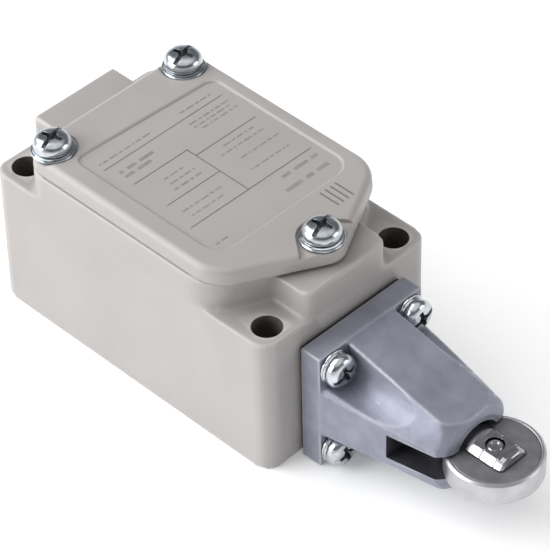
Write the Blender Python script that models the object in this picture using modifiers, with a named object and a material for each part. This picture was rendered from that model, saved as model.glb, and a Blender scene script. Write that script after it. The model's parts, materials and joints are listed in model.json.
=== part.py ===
"""Two-circuit limit switch with a top roller plunger head.

Frame: the origin is the middle of the four mounting holes on the mounting face. +X runs to the head and
roller, +Z out of the cover, and the body is symmetric about the XZ plane. Metres.
"""

import math

import bmesh
import bpy
from mathutils import Matrix, Vector

# ---------------------------------------------------------------- driving dimensions

# Housing
HOLE_PITCH_X = 0.0587
HOLE_PITCH_Y = 0.0302
HOLE_DIAMETER = 0.0054
BODY_WIDTH = 0.0392
EAR_REAR = 0.00415  # from the conduit-end holes to the end face
CONDUIT_END = HOLE_PITCH_X / 2 + EAR_REAR
EAR_FRONT = 0.00405  # from the head-end holes to the end face
HEAD_END = HOLE_PITCH_X / 2 + EAR_FRONT
EAR_HEIGHT = 0.0285  # seats of the mounting screws
RIM_RISE = 0.0057  # rim of the housing above the ears
BODY_CORNER = 0.0030
WALL = 0.0031
FLOOR = 0.0032
BACK_RELIEF = 0.0007
CONDUIT_BORE = 0.0208
CONDUIT_AXIS_Z = 0.0195
BOSS_WIDTH = 0.0191
SHOULDER_WIDTH = 0.0192

# Cover
COVER_THICKNESS = 0.0029
COVER_GAP = 0.0005
COVER_REAR = 0.0250
COVER_TIP = 0.0321
COVER_TIP_CORNER = 0.0045
COVER_SHOULDER = 0.0222  # where a slanted edge would meet the side
COVER_REAR_CORNER = 0.0045
COVER_FRONT_CORNER = 0.0075
COVER_OVERHANG = 0.0013
PANEL_DEPTH = 0.0003
POCKET_DEPTH = 0.0007
POCKET_RADIUS = 0.0045
GASKET_WIDTH = 0.0014
GASKET_INSET = 0.0007  # from the edge of the cavity
GROOVE_DEPTH = 0.0012
COVER_SCREW_X = 0.0215
COVER_SCREW_EDGE = 0.0041
TIP_SCREW_X = 0.0274

# Head, measured along +X from the housing's end face
AXIS_Z = 0.0125
FLANGE_SIZE = 0.0246
FLANGE_START = 0.0008
FLANGE_THICKNESS = 0.0043
HEAD_LENGTH = 0.0292
NOSE_HALF_HEIGHT = 0.0072
NOSE_HALF_WIDTH = 0.0080
SCOOP_LENGTH = 0.0188  # along the axis, from the flange
HEAD_TAPER = 1.2  # how the sides narrow from the flange: 1 is straight
WEB_HALF_WIDTH = 0.0057
NOSE_FACE_RADIUS = 0.0064
HEAD_SCREW_OFFSET = 0.0092
ROLLER_SLOT = 0.0051
SLOT_LENGTH = 0.0110  # along the sides, from its rear end to the nose

# Plunger and roller
PLUNGER_DIAMETER = 0.0084
PLUNGER_OUT = 0.0374  # front end beyond the housing's end face
ROLLER_OUT = 0.0331
ROLLER_DIAMETER = 0.0170
ROLLER_THICKNESS = 0.0045
PIN_DIAMETER = 0.0028
TRAVEL = 0.0073
FORK_FLAT = 0.0035
SPINDLE_DIAMETER = 0.0060

# Switch unit
UNIT_REAR = -0.0140
UNIT_FRONT = 0.0160
UNIT_HALF_WIDTH = 0.0130
UNIT_HEIGHT = 0.0170
INNER_RATIO = 0.5  # travel of the inner rod for each unit of the plunger's
CONTACT_TRAVEL = 0.0009

# Screws
SCREW_HEAD = 0.0064
SCREW_HEAD_HEIGHT = 0.0023
SCREW_SHANK = 0.0034
WASHER_THICKNESS = 0.0007

# Fits
TOUCH = 0.0002  # kept between pieces that rest on each other
SLIDE = 0.00015  # radial, between a sliding rod and its bore
LOOSE = 0.0003  # radial, round a screw's shank
FACE_LIFT = 0.0005  # how far a cutter reaches beyond a face it opens

# ---------------------------------------------------------------- derived places

RIM = EAR_HEIGHT + RIM_RISE
COVER_BOTTOM = RIM + COVER_GAP
COVER_TOP = COVER_BOTTOM + COVER_THICKNESS
SIDE = BODY_WIDTH / 2
FLANGE_REAR = HEAD_END + FLANGE_START
FLANGE_FRONT = FLANGE_REAR + FLANGE_THICKNESS
NOSE_X = HEAD_END + HEAD_LENGTH
ROLLER_X = HEAD_END + ROLLER_OUT
PLUNGER_FRONT = HEAD_END + PLUNGER_OUT
SLOT_SIDE = NOSE_X - SLOT_LENGTH
SLOT_REAR = ROLLER_X - ROLLER_DIAMETER / 2 - TRAVEL - TOUCH  # in the middle, clear of the pressed roller
COVER_SCREWS = {
    "conduit_near": (-COVER_SCREW_X, COVER_SCREW_EDGE - SIDE),
    "conduit_far": (-COVER_SCREW_X, SIDE - COVER_SCREW_EDGE),
    "head_end": (TIP_SCREW_X, 0.0),
}
HEAD_SCREWS = {
    "top_near": (-HEAD_SCREW_OFFSET, HEAD_SCREW_OFFSET),
    "top_far": (HEAD_SCREW_OFFSET, HEAD_SCREW_OFFSET),
    "bottom_near": (-HEAD_SCREW_OFFSET, -HEAD_SCREW_OFFSET),
    "bottom_far": (HEAD_SCREW_OFFSET, -HEAD_SCREW_OFFSET),
}

# ---------------------------------------------------------------- scene and finishes

for leftover in list(bpy.data.objects):
    bpy.data.objects.remove(leftover)

PARTS = bpy.data.collections.new("limit_switch")
CUTTERS = bpy.data.collections.new("cutters")
for collection in (PARTS, CUTTERS):
    bpy.context.scene.collection.children.link(collection)


def finish(name, colour, roughness, metallic):
    """A Principled material with one colour."""
    material = bpy.data.materials.new(name)
    material.use_nodes = True
    shader = material.node_tree.nodes["Principled BSDF"]
    shader.inputs["Base Color"].default_value = (*colour, 1.0)
    shader.inputs["Roughness"].default_value = roughness
    shader.inputs["Metallic"].default_value = metallic
    return material


PAINT = ("grey_paint", (0.52, 0.50, 0.49), 0.45, 0.0)
DIE_CAST = ("bare_die_cast", (0.30, 0.31, 0.36), 0.42, 0.8)
ZINC = ("zinc_plate", (0.62, 0.64, 0.66), 0.25, 1.0)
STEEL = ("ground_steel", (0.55, 0.55, 0.57), 0.22, 1.0)
SPRING_STEEL = ("spring_steel", (0.35, 0.35, 0.37), 0.30, 1.0)
BRASS = ("brass", (0.66, 0.48, 0.20), 0.30, 1.0)
BRONZE = ("bronze", (0.45, 0.30, 0.16), 0.40, 1.0)
RUBBER = ("nitrile_rubber", (0.02, 0.02, 0.02), 0.70, 0.0)
BLACK_RESIN = ("black_resin", (0.03, 0.03, 0.035), 0.45, 0.0)
RED_RESIN = ("red_resin", (0.35, 0.05, 0.03), 0.40, 0.0)

# ---------------------------------------------------------------- modelling tools


def place(obj, colour=None):
    """Put a piece with the parts in its own material, or with the cutters where it has no colour."""
    for owner in list(obj.users_collection):
        owner.objects.unlink(obj)
    if colour is None:
        CUTTERS.objects.link(obj)
        obj.hide_render = True
        obj.display_type = "WIRE"
    else:
        PARTS.objects.link(obj)
        name, rgb, roughness, metallic = colour
        obj.data.materials.clear()
        obj.data.materials.append(finish(f"{obj.name}_{name}", rgb, roughness, metallic))
    return obj


def mesh_object(name, bm, colour):
    """An object from a bmesh, its faces turned outwards."""
    bmesh.ops.recalc_face_normals(bm, faces=bm.faces)
    mesh = bpy.data.meshes.new(name)
    bm.to_mesh(mesh)
    bm.free()
    return place(bpy.data.objects.new(name, mesh), colour)


def block(name, x, y, z, colour=None):
    """A box between the given low and high values on each axis, its origin in its middle."""
    bm = bmesh.new()
    bmesh.ops.create_cube(bm, size=1.0)
    bmesh.ops.scale(bm, vec=(x[1] - x[0], y[1] - y[0], z[1] - z[0]), verts=bm.verts)
    obj = mesh_object(name, bm, colour)
    obj.location = (sum(x) / 2, sum(y) / 2, sum(z) / 2)
    return obj


def aim(obj, axis):
    """Turn a piece made along +Z to lie along the given axis."""
    turns = {"X": (0.0, math.pi / 2, 0.0), "Y": (-math.pi / 2, 0.0, 0.0), "Z": (0.0, 0.0, 0.0)}
    obj.rotation_euler = turns[axis]
    return obj


def turned(name, profile, place_at, axis="Z", colour=None, steps=24, closed=False):
    """A turned piece: (radius, height) points from the top, down the outer side, on the axis at place_at."""
    bm = bmesh.new()
    points = [bm.verts.new((radius, 0.0, height)) for radius, height in profile]
    for first, second in zip(points, points[1:]):
        bm.edges.new((first, second))
    if closed:
        bm.edges.new((points[-1], points[0]))
    mesh = bpy.data.meshes.new(name)
    bm.to_mesh(mesh)
    bm.free()
    obj = place(bpy.data.objects.new(name, mesh), colour)
    screw = obj.modifiers.new("turn", "SCREW")
    screw.steps = steps
    screw.render_steps = steps
    screw.use_merge_vertices = True
    screw.merge_threshold = 0.00001
    obj.location = place_at
    return aim(obj, axis)


def rod(name, radius, low, high, at, axis="X", colour=None, steps=24):
    """A solid cylinder between two heights along its axis."""
    profile = [(0.0, high), (radius, high), (radius, low), (0.0, low)]
    return turned(name, profile, at, axis, colour, steps)


def ring(name, inner, outer, low, high, at, axis="X", colour=None, steps=24):
    """A flat ring or a sleeve between two heights along its axis."""
    profile = [(inner, high), (outer, high), (outer, low), (inner, low)]
    return turned(name, profile, at, axis, colour, steps, closed=True)


def rounded(corners, steps=5):
    """Points of an outline through (x, y, radius) corners, each corner an arc."""
    outline = []
    for index, (x, y, radius) in enumerate(corners):
        corner = Vector((x, y))
        before = (Vector(corners[index - 1][:2]) - corner).normalized()
        after = (Vector(corners[(index + 1) % len(corners)][:2]) - corner).normalized()
        if radius == 0.0:
            outline.append(corner)
            continue
        half = before.angle(after) / 2
        centre = corner + (before + after).normalized() * radius / math.sin(half)
        start = corner + before * radius / math.tan(half) - centre
        sweep = math.pi - 2 * half
        turn = math.copysign(sweep, before.cross(after)) * -1
        for step in range(steps + 1):
            outline.append(centre + start @ Matrix.Rotation(-turn * step / steps, 2))
    return outline


def plate(name, corners, low, high, colour=None, steps=5):
    """A flat piece with the outline of rounded corners, between two heights in Z."""
    outline = rounded(corners, steps)
    curve = bpy.data.curves.new(name, "CURVE")
    curve.dimensions = "2D"
    curve.fill_mode = "BOTH"
    curve.extrude = (high - low) / 2
    spline = curve.splines.new("POLY")
    spline.points.add(len(outline) - 1)
    for point, (x, y) in zip(spline.points, outline):
        point.co = (x, y, 0.0, 1.0)
    spline.use_cyclic_u = True
    drawn = bpy.data.objects.new(name + "_curve", curve)
    bpy.context.scene.collection.objects.link(drawn)
    drawn.location.z = (low + high) / 2
    bpy.context.view_layer.update()
    graph = bpy.context.evaluated_depsgraph_get()
    mesh = bpy.data.meshes.new_from_object(drawn.evaluated_get(graph))
    bm = bmesh.new()
    bm.from_mesh(mesh)
    bmesh.ops.remove_doubles(bm, verts=bm.verts, dist=0.000001)
    obj = mesh_object(name, bm, colour)
    obj.matrix_world = drawn.matrix_world
    bpy.data.objects.remove(drawn)
    return obj


def loft(name, sections, colour=None):
    """A solid through rings of points, one ring for each section, with flat ends."""
    bm = bmesh.new()
    rings = [[bm.verts.new(point) for point in section] for section in sections]
    for low, high in zip(rings, rings[1:]):
        for index in range(len(low)):
            after = (index + 1) % len(low)
            bm.faces.new((low[index], low[after], high[after], high[index]))
    bm.faces.new(rings[0])
    bm.faces.new(rings[-1])
    return mesh_object(name, bm, colour)


def combine(obj, tool, operation):
    """Cut a tool from a piece, join it on, or keep what both share."""
    modifier = obj.modifiers.new(f"{operation.lower()}_{tool.name}", "BOOLEAN")
    modifier.object = tool
    modifier.operation = operation
    modifier.solver = "EXACT"
    return obj


def cut(obj, *tools):
    """Take every tool away from the piece."""
    for tool in tools:
        combine(obj, tool, "DIFFERENCE")
    return obj


def join(obj, *tools):
    """Add every tool to the piece."""
    for tool in tools:
        combine(obj, tool, "UNION")
    return obj


def smooth(obj, angle=40.0):
    """Smooth shading, with edges sharper than the angle left crisp."""
    obj.data.shade_smooth()
    obj.data.set_sharp_from_angle(angle=math.radians(angle))
    return obj


def coil(name, radius, wire, low, high, turns, at, colour, points_per_turn=12):
    """A compression spring along X, with its wire inside the two heights."""
    curve = bpy.data.curves.new(name, "CURVE")
    curve.dimensions = "3D"
    curve.bevel_depth = wire / 2
    curve.bevel_resolution = 1
    curve.use_fill_caps = True
    spline = curve.splines.new("POLY")
    count = int(turns * points_per_turn) + 1
    spline.points.add(count - 1)
    start = low + wire / 2
    length = high - low - wire
    for index, point in enumerate(spline.points):
        share = index / (count - 1)
        angle = 2 * math.pi * turns * share
        point.co = (start + length * share, radius * math.cos(angle), radius * math.sin(angle), 1.0)
    obj = place(bpy.data.objects.new(name, curve), colour)
    obj.location = at
    return obj


def screw(name, at, axis, length, head=SCREW_HEAD, height=SCREW_HEAD_HEIGHT, shank=SCREW_SHANK, slot=True):
    """A pan head screw with its seat at place `at`, its head towards +axis and a crossed slot."""
    radius = head / 2
    profile = [
        (0.0, height),
        (radius * 0.55, height * 0.96),
        (radius * 0.88, height * 0.72),
        (radius, height * 0.40),
        (radius, 0.0),
        (shank / 2, 0.0),
        (shank / 2, -length),
        (0.0, -length),
    ]
    body = turned(name, profile, at, axis, ZINC, steps=16)
    if slot:
        direction = Vector((1.0, 0.0, 0.0)) if axis == "X" else Vector((0.0, 0.0, 1.0))
        middle = Vector(at) + direction * height
        for index in range(2):
            blade = block(
                f"{name}_slot_{index}",
                (-radius * 0.62, radius * 0.62),
                (-0.0004, 0.0004),
                (-0.0008, 0.0008),
            )
            blade.location = middle
            aim(blade, axis)
            blade.rotation_euler.rotate_axis("Z", math.pi / 2 * index)
            cut(body, blade)
    return body


def washer(name, at, axis, outer=SCREW_HEAD / 2 + 0.0003, thickness=WASHER_THICKNESS, shank=SCREW_SHANK):
    """A plain washer whose lower face is at place `at`."""
    return ring(name, shank / 2 + LOOSE, outer, 0.0, thickness, at, axis, ZINC, steps=16)


# ---------------------------------------------------------------- housing

AXIS = Vector((0.0, 0.0, AXIS_Z))
HOLES = [(sx * HOLE_PITCH_X / 2, sy * HOLE_PITCH_Y / 2) for sx in (-1, 1) for sy in (-1, 1)]
CAVITY_REAR = -COVER_REAR + WALL
CAVITY_FRONT = min(HOLE_PITCH_X / 2 - HOLE_DIAMETER / 2 - WALL - 0.0025, TIP_SCREW_X - 0.0060)
CAVITY_HALF = SIDE - WALL
POST_X = -COVER_SCREW_X + 0.0058
POST_Y = SIDE - COVER_SCREW_EDGE - 0.0058
PASSAGE_RADIUS = 0.0070
PASSAGE_STEP = CAVITY_FRONT + 0.0035


def cover_outline(shrink=0.0, step_back=0.0):
    """Outline of the cover: square at the conduit end, pointed at the head end."""
    side = SIDE - shrink
    rear = -COVER_REAR + shrink
    return [
        (rear, -side, COVER_REAR_CORNER),
        (COVER_SHOULDER - step_back, -side, COVER_FRONT_CORNER),
        (COVER_TIP - step_back, 0.0, COVER_TIP_CORNER),
        (COVER_SHOULDER - step_back, side, COVER_FRONT_CORNER),
        (rear, side, COVER_REAR_CORNER),
    ]


def cavity_outline(grow=0.0):
    """Outline of the wiring space, with its two conduit-end corners kept for the screw posts."""
    rear, front, half = CAVITY_REAR - grow, CAVITY_FRONT + grow, CAVITY_HALF + grow
    post_x, post_y = POST_X - grow, POST_Y + grow
    outer, inner = 0.0012 + grow * 0.8, 0.0030 - grow
    return [
        (front, -half, outer + 0.002),
        (front, half, outer + 0.002),
        (post_x, half, outer),
        (post_x, post_y, inner),
        (rear, post_y, outer),
        (rear, -post_y, outer),
        (post_x, -post_y, inner),
        (post_x, -half, outer),
    ]


def build_housing():
    """Die-cast box: four ears, raised conduit boss, shoulder under the cover's tip, wiring space."""
    base = [
        (-CONDUIT_END, -SIDE, BODY_CORNER),
        (HEAD_END, -SIDE, BODY_CORNER),
        (HEAD_END, SIDE, BODY_CORNER),
        (-CONDUIT_END, SIDE, BODY_CORNER),
    ]
    body = plate("housing", base, 0.0, EAR_HEIGHT, PAINT)
    inside = EAR_HEIGHT - FACE_LIFT
    upper = plate("housing_upper", cover_outline(step_back=COVER_OVERHANG), inside, RIM)
    boss_end = -COVER_REAR + 0.004
    boss = block(
        "housing_boss", (-CONDUIT_END, boss_end), (-BOSS_WIDTH / 2, BOSS_WIDTH / 2), (inside, RIM - 0.0002)
    )
    shoulder_corners = [
        (CAVITY_FRONT + WALL, -SHOULDER_WIDTH / 2, 0.0),
        (HEAD_END, -SHOULDER_WIDTH / 2, 0.0018),
        (HEAD_END, SHOULDER_WIDTH / 2, 0.0018),
        (CAVITY_FRONT + WALL, SHOULDER_WIDTH / 2, 0.0),
    ]
    shoulder = plate("housing_shoulder", shoulder_corners, inside, RIM - 0.0002)
    join(body, upper, boss, shoulder)
    cut(body, plate("housing_cavity", cavity_outline(), FLOOR, RIM + FACE_LIFT))
    bore_at = Vector((0.0, 0.0, CONDUIT_AXIS_Z))
    cut(
        body,
        rod(
            "conduit_bore",
            CONDUIT_BORE / 2,
            -CONDUIT_END - FACE_LIFT,
            CAVITY_REAR + 0.001,
            bore_at,
            steps=40,
        ),
    )
    passage = turned(
        "plunger_passage",
        [
            (0.0, HEAD_END + FACE_LIFT),
            (PASSAGE_RADIUS, HEAD_END + FACE_LIFT),
            (PASSAGE_RADIUS, PASSAGE_STEP),
            (PASSAGE_RADIUS - 0.0018, PASSAGE_STEP),
            (PASSAGE_RADIUS - 0.0018, CAVITY_FRONT - FACE_LIFT),
            (0.0, CAVITY_FRONT - FACE_LIFT),
        ],
        AXIS,
        "X",
    )
    cut(body, passage)
    for index, (x, y) in enumerate(HOLES):
        at = (x, y, 0.0)
        cut(
            body,
            rod(f"mounting_hole_{index}", HOLE_DIAMETER / 2, -FACE_LIFT, EAR_HEIGHT + FACE_LIFT, at, "Z"),
        )
    for name, (x, y) in COVER_SCREWS.items():
        depth = RIM - 0.0095
        cut(
            body,
            rod(
                f"tapped_{name}",
                SCREW_SHANK / 2 + LOOSE,
                depth,
                RIM + FACE_LIFT,
                (x, y, 0.0),
                "Z",
                steps=16,
            ),
        )
    for name, (y, z) in HEAD_SCREWS.items():
        at = (0.0, y, AXIS_Z + z)
        end = HEAD_END - 0.0065
        cut(
            body,
            rod(f"tapped_{name}", SCREW_SHANK / 2 + LOOSE, end, HEAD_END + FACE_LIFT, at, "X", steps=16),
        )
    for name, (x, y) in UNIT_SCREWS.items():
        at = (x, y, 0.0)
        cut(
            body,
            rod(f"tapped_{name}", 0.0015 + LOOSE, FLOOR - 0.0022, FLOOR + FACE_LIFT, at, "Z", steps=12),
        )
    ground_at = (*GROUND_SCREW, 0.0)
    join(body, rod("ground_boss", 0.0038, FLOOR - FACE_LIFT, GROUND_SEAT, ground_at, "Z", steps=20))
    cut(
        body,
        rod(
            "tapped_ground",
            SCREW_SHANK / 2 + LOOSE,
            0.0012,
            GROUND_SEAT + FACE_LIFT,
            ground_at,
            "Z",
            steps=12,
        ),
    )
    reach = SIDE + FACE_LIFT
    for sign in (-1, 1):
        across = sorted((sign * (SIDE - 0.0062), sign * reach))
        relief = block(f"back_relief_{sign}", (-0.0230, 0.0240), across, (-FACE_LIFT, BACK_RELIEF))
        cut(body, relief)
    return smooth(body)


# ---------------------------------------------------------------- cover


def build_cover():
    """Plate over the wiring space, with a shallow label panel, screw seats and a gasket groove."""
    body = plate("cover", cover_outline(), COVER_BOTTOM, COVER_TOP, PAINT)
    panel = [
        (-0.0160, -0.0152, 0.002),
        (0.0180, -0.0152, 0.003),
        (0.0180, 0.0162, 0.003),
        (-0.0150, 0.0162, 0.002),
    ]
    cut(body, plate("label_panel", panel, COVER_TOP - PANEL_DEPTH, COVER_TOP + FACE_LIFT, steps=3))
    for name, (x, y) in COVER_SCREWS.items():
        seat = COVER_TOP - POCKET_DEPTH
        top = COVER_TOP + FACE_LIFT
        radius = POCKET_RADIUS
        cut(body, rod(f"seat_{name}", radius, seat, top, (x, y, 0.0), "Z"))
        hole = SCREW_SHANK / 2 + LOOSE
        cut(body, rod(f"hole_{name}", hole, COVER_BOTTOM - FACE_LIFT, top, (x, y, 0.0), "Z", steps=16))
    half = POCKET_RADIUS
    opening = block(
        "tip_pocket",
        (TIP_SCREW_X, COVER_TIP + 0.001),
        (-half, half),
        (COVER_TOP - POCKET_DEPTH, COVER_TOP + FACE_LIFT),
    )
    cut(body, opening)
    low, high = COVER_BOTTOM - FACE_LIFT, COVER_BOTTOM + GROOVE_DEPTH
    groove = plate("groove_outer", cavity_outline(GASKET_INSET + GASKET_WIDTH + TOUCH), low, high)
    cut(
        groove,
        plate("groove_inner", cavity_outline(GASKET_INSET - TOUCH), low - FACE_LIFT, high + FACE_LIFT),
    )
    cut(body, groove)
    seal = plate(
        "cover_gasket", cavity_outline(GASKET_INSET + GASKET_WIDTH), RIM + TOUCH, high - TOUCH, RUBBER
    )
    cut(seal, plate("gasket_inner", cavity_outline(GASKET_INSET), RIM - FACE_LIFT, high + FACE_LIFT))
    smooth(seal)
    for name, (x, y) in COVER_SCREWS.items():
        seat = COVER_TOP - POCKET_DEPTH + TOUCH
        washer(f"cover_washer_{name}", (x, y, seat), "Z", outer=0.0039)
        screw(f"cover_screw_{name}", (x, y, seat + WASHER_THICKNESS + TOUCH), "Z", 0.0110, head=0.0068)
    return smooth(body)


# ---------------------------------------------------------------- head


def octagon(x, half_width, half_height, flat_width, flat_height):
    """Cross-section of the head at x, with slanted corners."""
    corners = [(half_width, flat_height), (flat_width, half_height)]
    right = corners + [(-y, z) for y, z in reversed(corners)]
    points = right + [(y, -z) for y, z in reversed(right)]
    return [(x, y, AXIS_Z + z) for y, z in points]


def scoop(name, x_values, sign_y, sign_z):
    """Cutter for the hollow round a head screw, square at the flange and shallower to the nose."""
    sections = []
    first, last = x_values[0], x_values[-1]
    for x in x_values:
        share = (x - first) / (last - first)
        floor = 0.0056 - 0.0023 * share
        bend = 0.0008 + 0.0074 * share ** 0.8
        wall = WEB_HALF_WIDTH
        far = 0.019
        ring_points = [(far, floor), (far, far), (wall, far)]
        for step in range(6):
            angle = math.pi + math.pi / 2 * step / 5
            ring_points.append(
                (wall + bend + bend * math.cos(angle), floor + bend + bend * math.sin(angle))
            )
        sections.append([(x, sign_y * y, AXIS_Z + sign_z * z) for y, z in ring_points])
    return loft(name, sections)


def build_head():
    """Die-cast head: square flange, plus-shaped webs, round nose, slot for the roller."""
    half = FLANGE_SIZE / 2
    body_start = FLANGE_FRONT - 0.0008
    length = NOSE_X - body_start
    sections = []
    for share in (0.0, 0.3, 0.55, 0.75, 0.9, 1.0):
        x = body_start + length * share
        width = NOSE_HALF_WIDTH + (half - 0.0001 - NOSE_HALF_WIDTH) * (1 - share ** HEAD_TAPER)
        height = half - 0.0001 + (NOSE_HALF_HEIGHT - half) * share
        sections.append(octagon(x, width, height, WEB_HALF_WIDTH, 0.0048 - 0.0016 * share))
    webs = loft("head_webs", sections)
    envelope = turned(
        "head_envelope",
        [
            (0.0, NOSE_X),
            (NOSE_FACE_RADIUS, NOSE_X),
            (NOSE_FACE_RADIUS + 0.0012, NOSE_X - 0.0006),
            (NOSE_FACE_RADIUS + 0.0026, NOSE_X - 0.0020),
            (NOSE_FACE_RADIUS + 0.0052, NOSE_X - 0.0070),
            (0.0190, NOSE_X - 0.0160),
            (0.0190, body_start - 0.001),
            (0.0, body_start - 0.001),
        ],
        AXIS,
        "X",
        steps=40,
    )
    combine(webs, envelope, "INTERSECT")
    stations = [FLANGE_FRONT + SCOOP_LENGTH * share for share in (-0.02, 0.16, 0.36, 0.58, 0.8, 1.0)]
    for sign_y in (-1, 1):
        for sign_z in (-1, 1):
            cut(webs, scoop(f"scoop_{sign_y}_{sign_z}", stations, sign_y, sign_z))
    body = block(
        "head", (FLANGE_REAR, FLANGE_FRONT), (-half, half), (AXIS_Z - half, AXIS_Z + half), DIE_CAST
    )
    join(body, webs)
    guide = turned(
        "head_bore",
        [
            (0.0, NOSE_X + FACE_LIFT),
            (BORE_RADIUS + 0.0006, NOSE_X + FACE_LIFT),
            (BORE_RADIUS + 0.0006, NOSE_X - 0.0003),
            (BORE_RADIUS, NOSE_X - 0.0009),
            (BORE_RADIUS, BUSH_FRONT),
            (BUSH_RADIUS, BUSH_FRONT),
            (BUSH_RADIUS, SEAL_FRONT),
            (SEAL_RADIUS, SEAL_FRONT),
            (SEAL_RADIUS, CHAMBER_FRONT),
            (PASSAGE_RADIUS, CHAMBER_FRONT),
            (PASSAGE_RADIUS, FLANGE_REAR - FACE_LIFT),
            (0.0, FLANGE_REAR - FACE_LIFT),
        ],
        AXIS,
        "X",
    )
    reach = half + 0.002
    slot_z = (AXIS_Z - ROLLER_SLOT / 2, AXIS_Z + ROLLER_SLOT / 2)
    cut(body, guide, block("roller_slot", (SLOT_SIDE, NOSE_X + 0.002), (-reach, reach), slot_z))
    pressed_at = (ROLLER_X - TRAVEL, 0.0, 0.0)
    cut(body, rod("roller_room", ROLLER_DIAMETER / 2 + TOUCH, *slot_z, pressed_at, "Z", steps=40))
    for name, (y, z) in HEAD_SCREWS.items():
        at = (0.0, y, AXIS_Z + z)
        hole = SCREW_SHANK / 2 + LOOSE
        low, high = FLANGE_REAR - FACE_LIFT, FLANGE_FRONT + FACE_LIFT
        cut(body, rod(f"flange_hole_{name}", hole, low, high, at, "X", steps=16))
        seat = FLANGE_FRONT + TOUCH
        washer(f"head_washer_{name}", (seat, y, AXIS_Z + z), "X", outer=0.0031, thickness=0.0008)
        screw(f"head_screw_{name}", (seat + 0.0008 + TOUCH, y, AXIS_Z + z), "X", 0.0110, head=0.0061)
    seal_half = half - 0.0006
    seal = block(
        "head_gasket",
        (HEAD_END + TOUCH, FLANGE_REAR - TOUCH),
        (-seal_half, seal_half),
        (AXIS_Z - seal_half, AXIS_Z + seal_half),
        RUBBER,
    )
    cut(seal, rod("gasket_bore", PASSAGE_RADIUS, HEAD_END - FACE_LIFT, FLANGE_REAR + FACE_LIFT, AXIS))
    for name, (y, z) in HEAD_SCREWS.items():
        at = (0.0, y, AXIS_Z + z)
        hole = SCREW_SHANK / 2 + LOOSE
        cut(
            seal,
            rod(
                f"gasket_hole_{name}",
                hole,
                HEAD_END - FACE_LIFT,
                FLANGE_REAR + FACE_LIFT,
                at,
                "X",
                steps=12,
            ),
        )
    return smooth(body)


# ---------------------------------------------------------------- plunger, roller and return spring

PLUNGER_RADIUS = PLUNGER_DIAMETER / 2
SPINDLE_RADIUS = SPINDLE_DIAMETER / 2
BORE_RADIUS = PLUNGER_RADIUS + 0.0004
BUSH_RADIUS = PLUNGER_RADIUS + 0.0016
SEAL_RADIUS = BUSH_RADIUS + 0.0005
BUSH_FRONT = SLOT_REAR - 0.0010
SEAL_FRONT = BUSH_FRONT - 0.0046
CHAMBER_FRONT = SEAL_FRONT - 0.0022
COLLAR_X = CHAMBER_FRONT - TOUCH
COLLAR_THICKNESS = 0.0013
SPINDLE_END = PASSAGE_STEP + TOUCH
SPINDLE_BORE_END = HEAD_END + 0.0081
GUIDE_FRONT = PASSAGE_STEP + TOUCH + 0.0015
INNER_RADIUS = 0.0020
INNER_TIP = UNIT_FRONT + 0.0026


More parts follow.
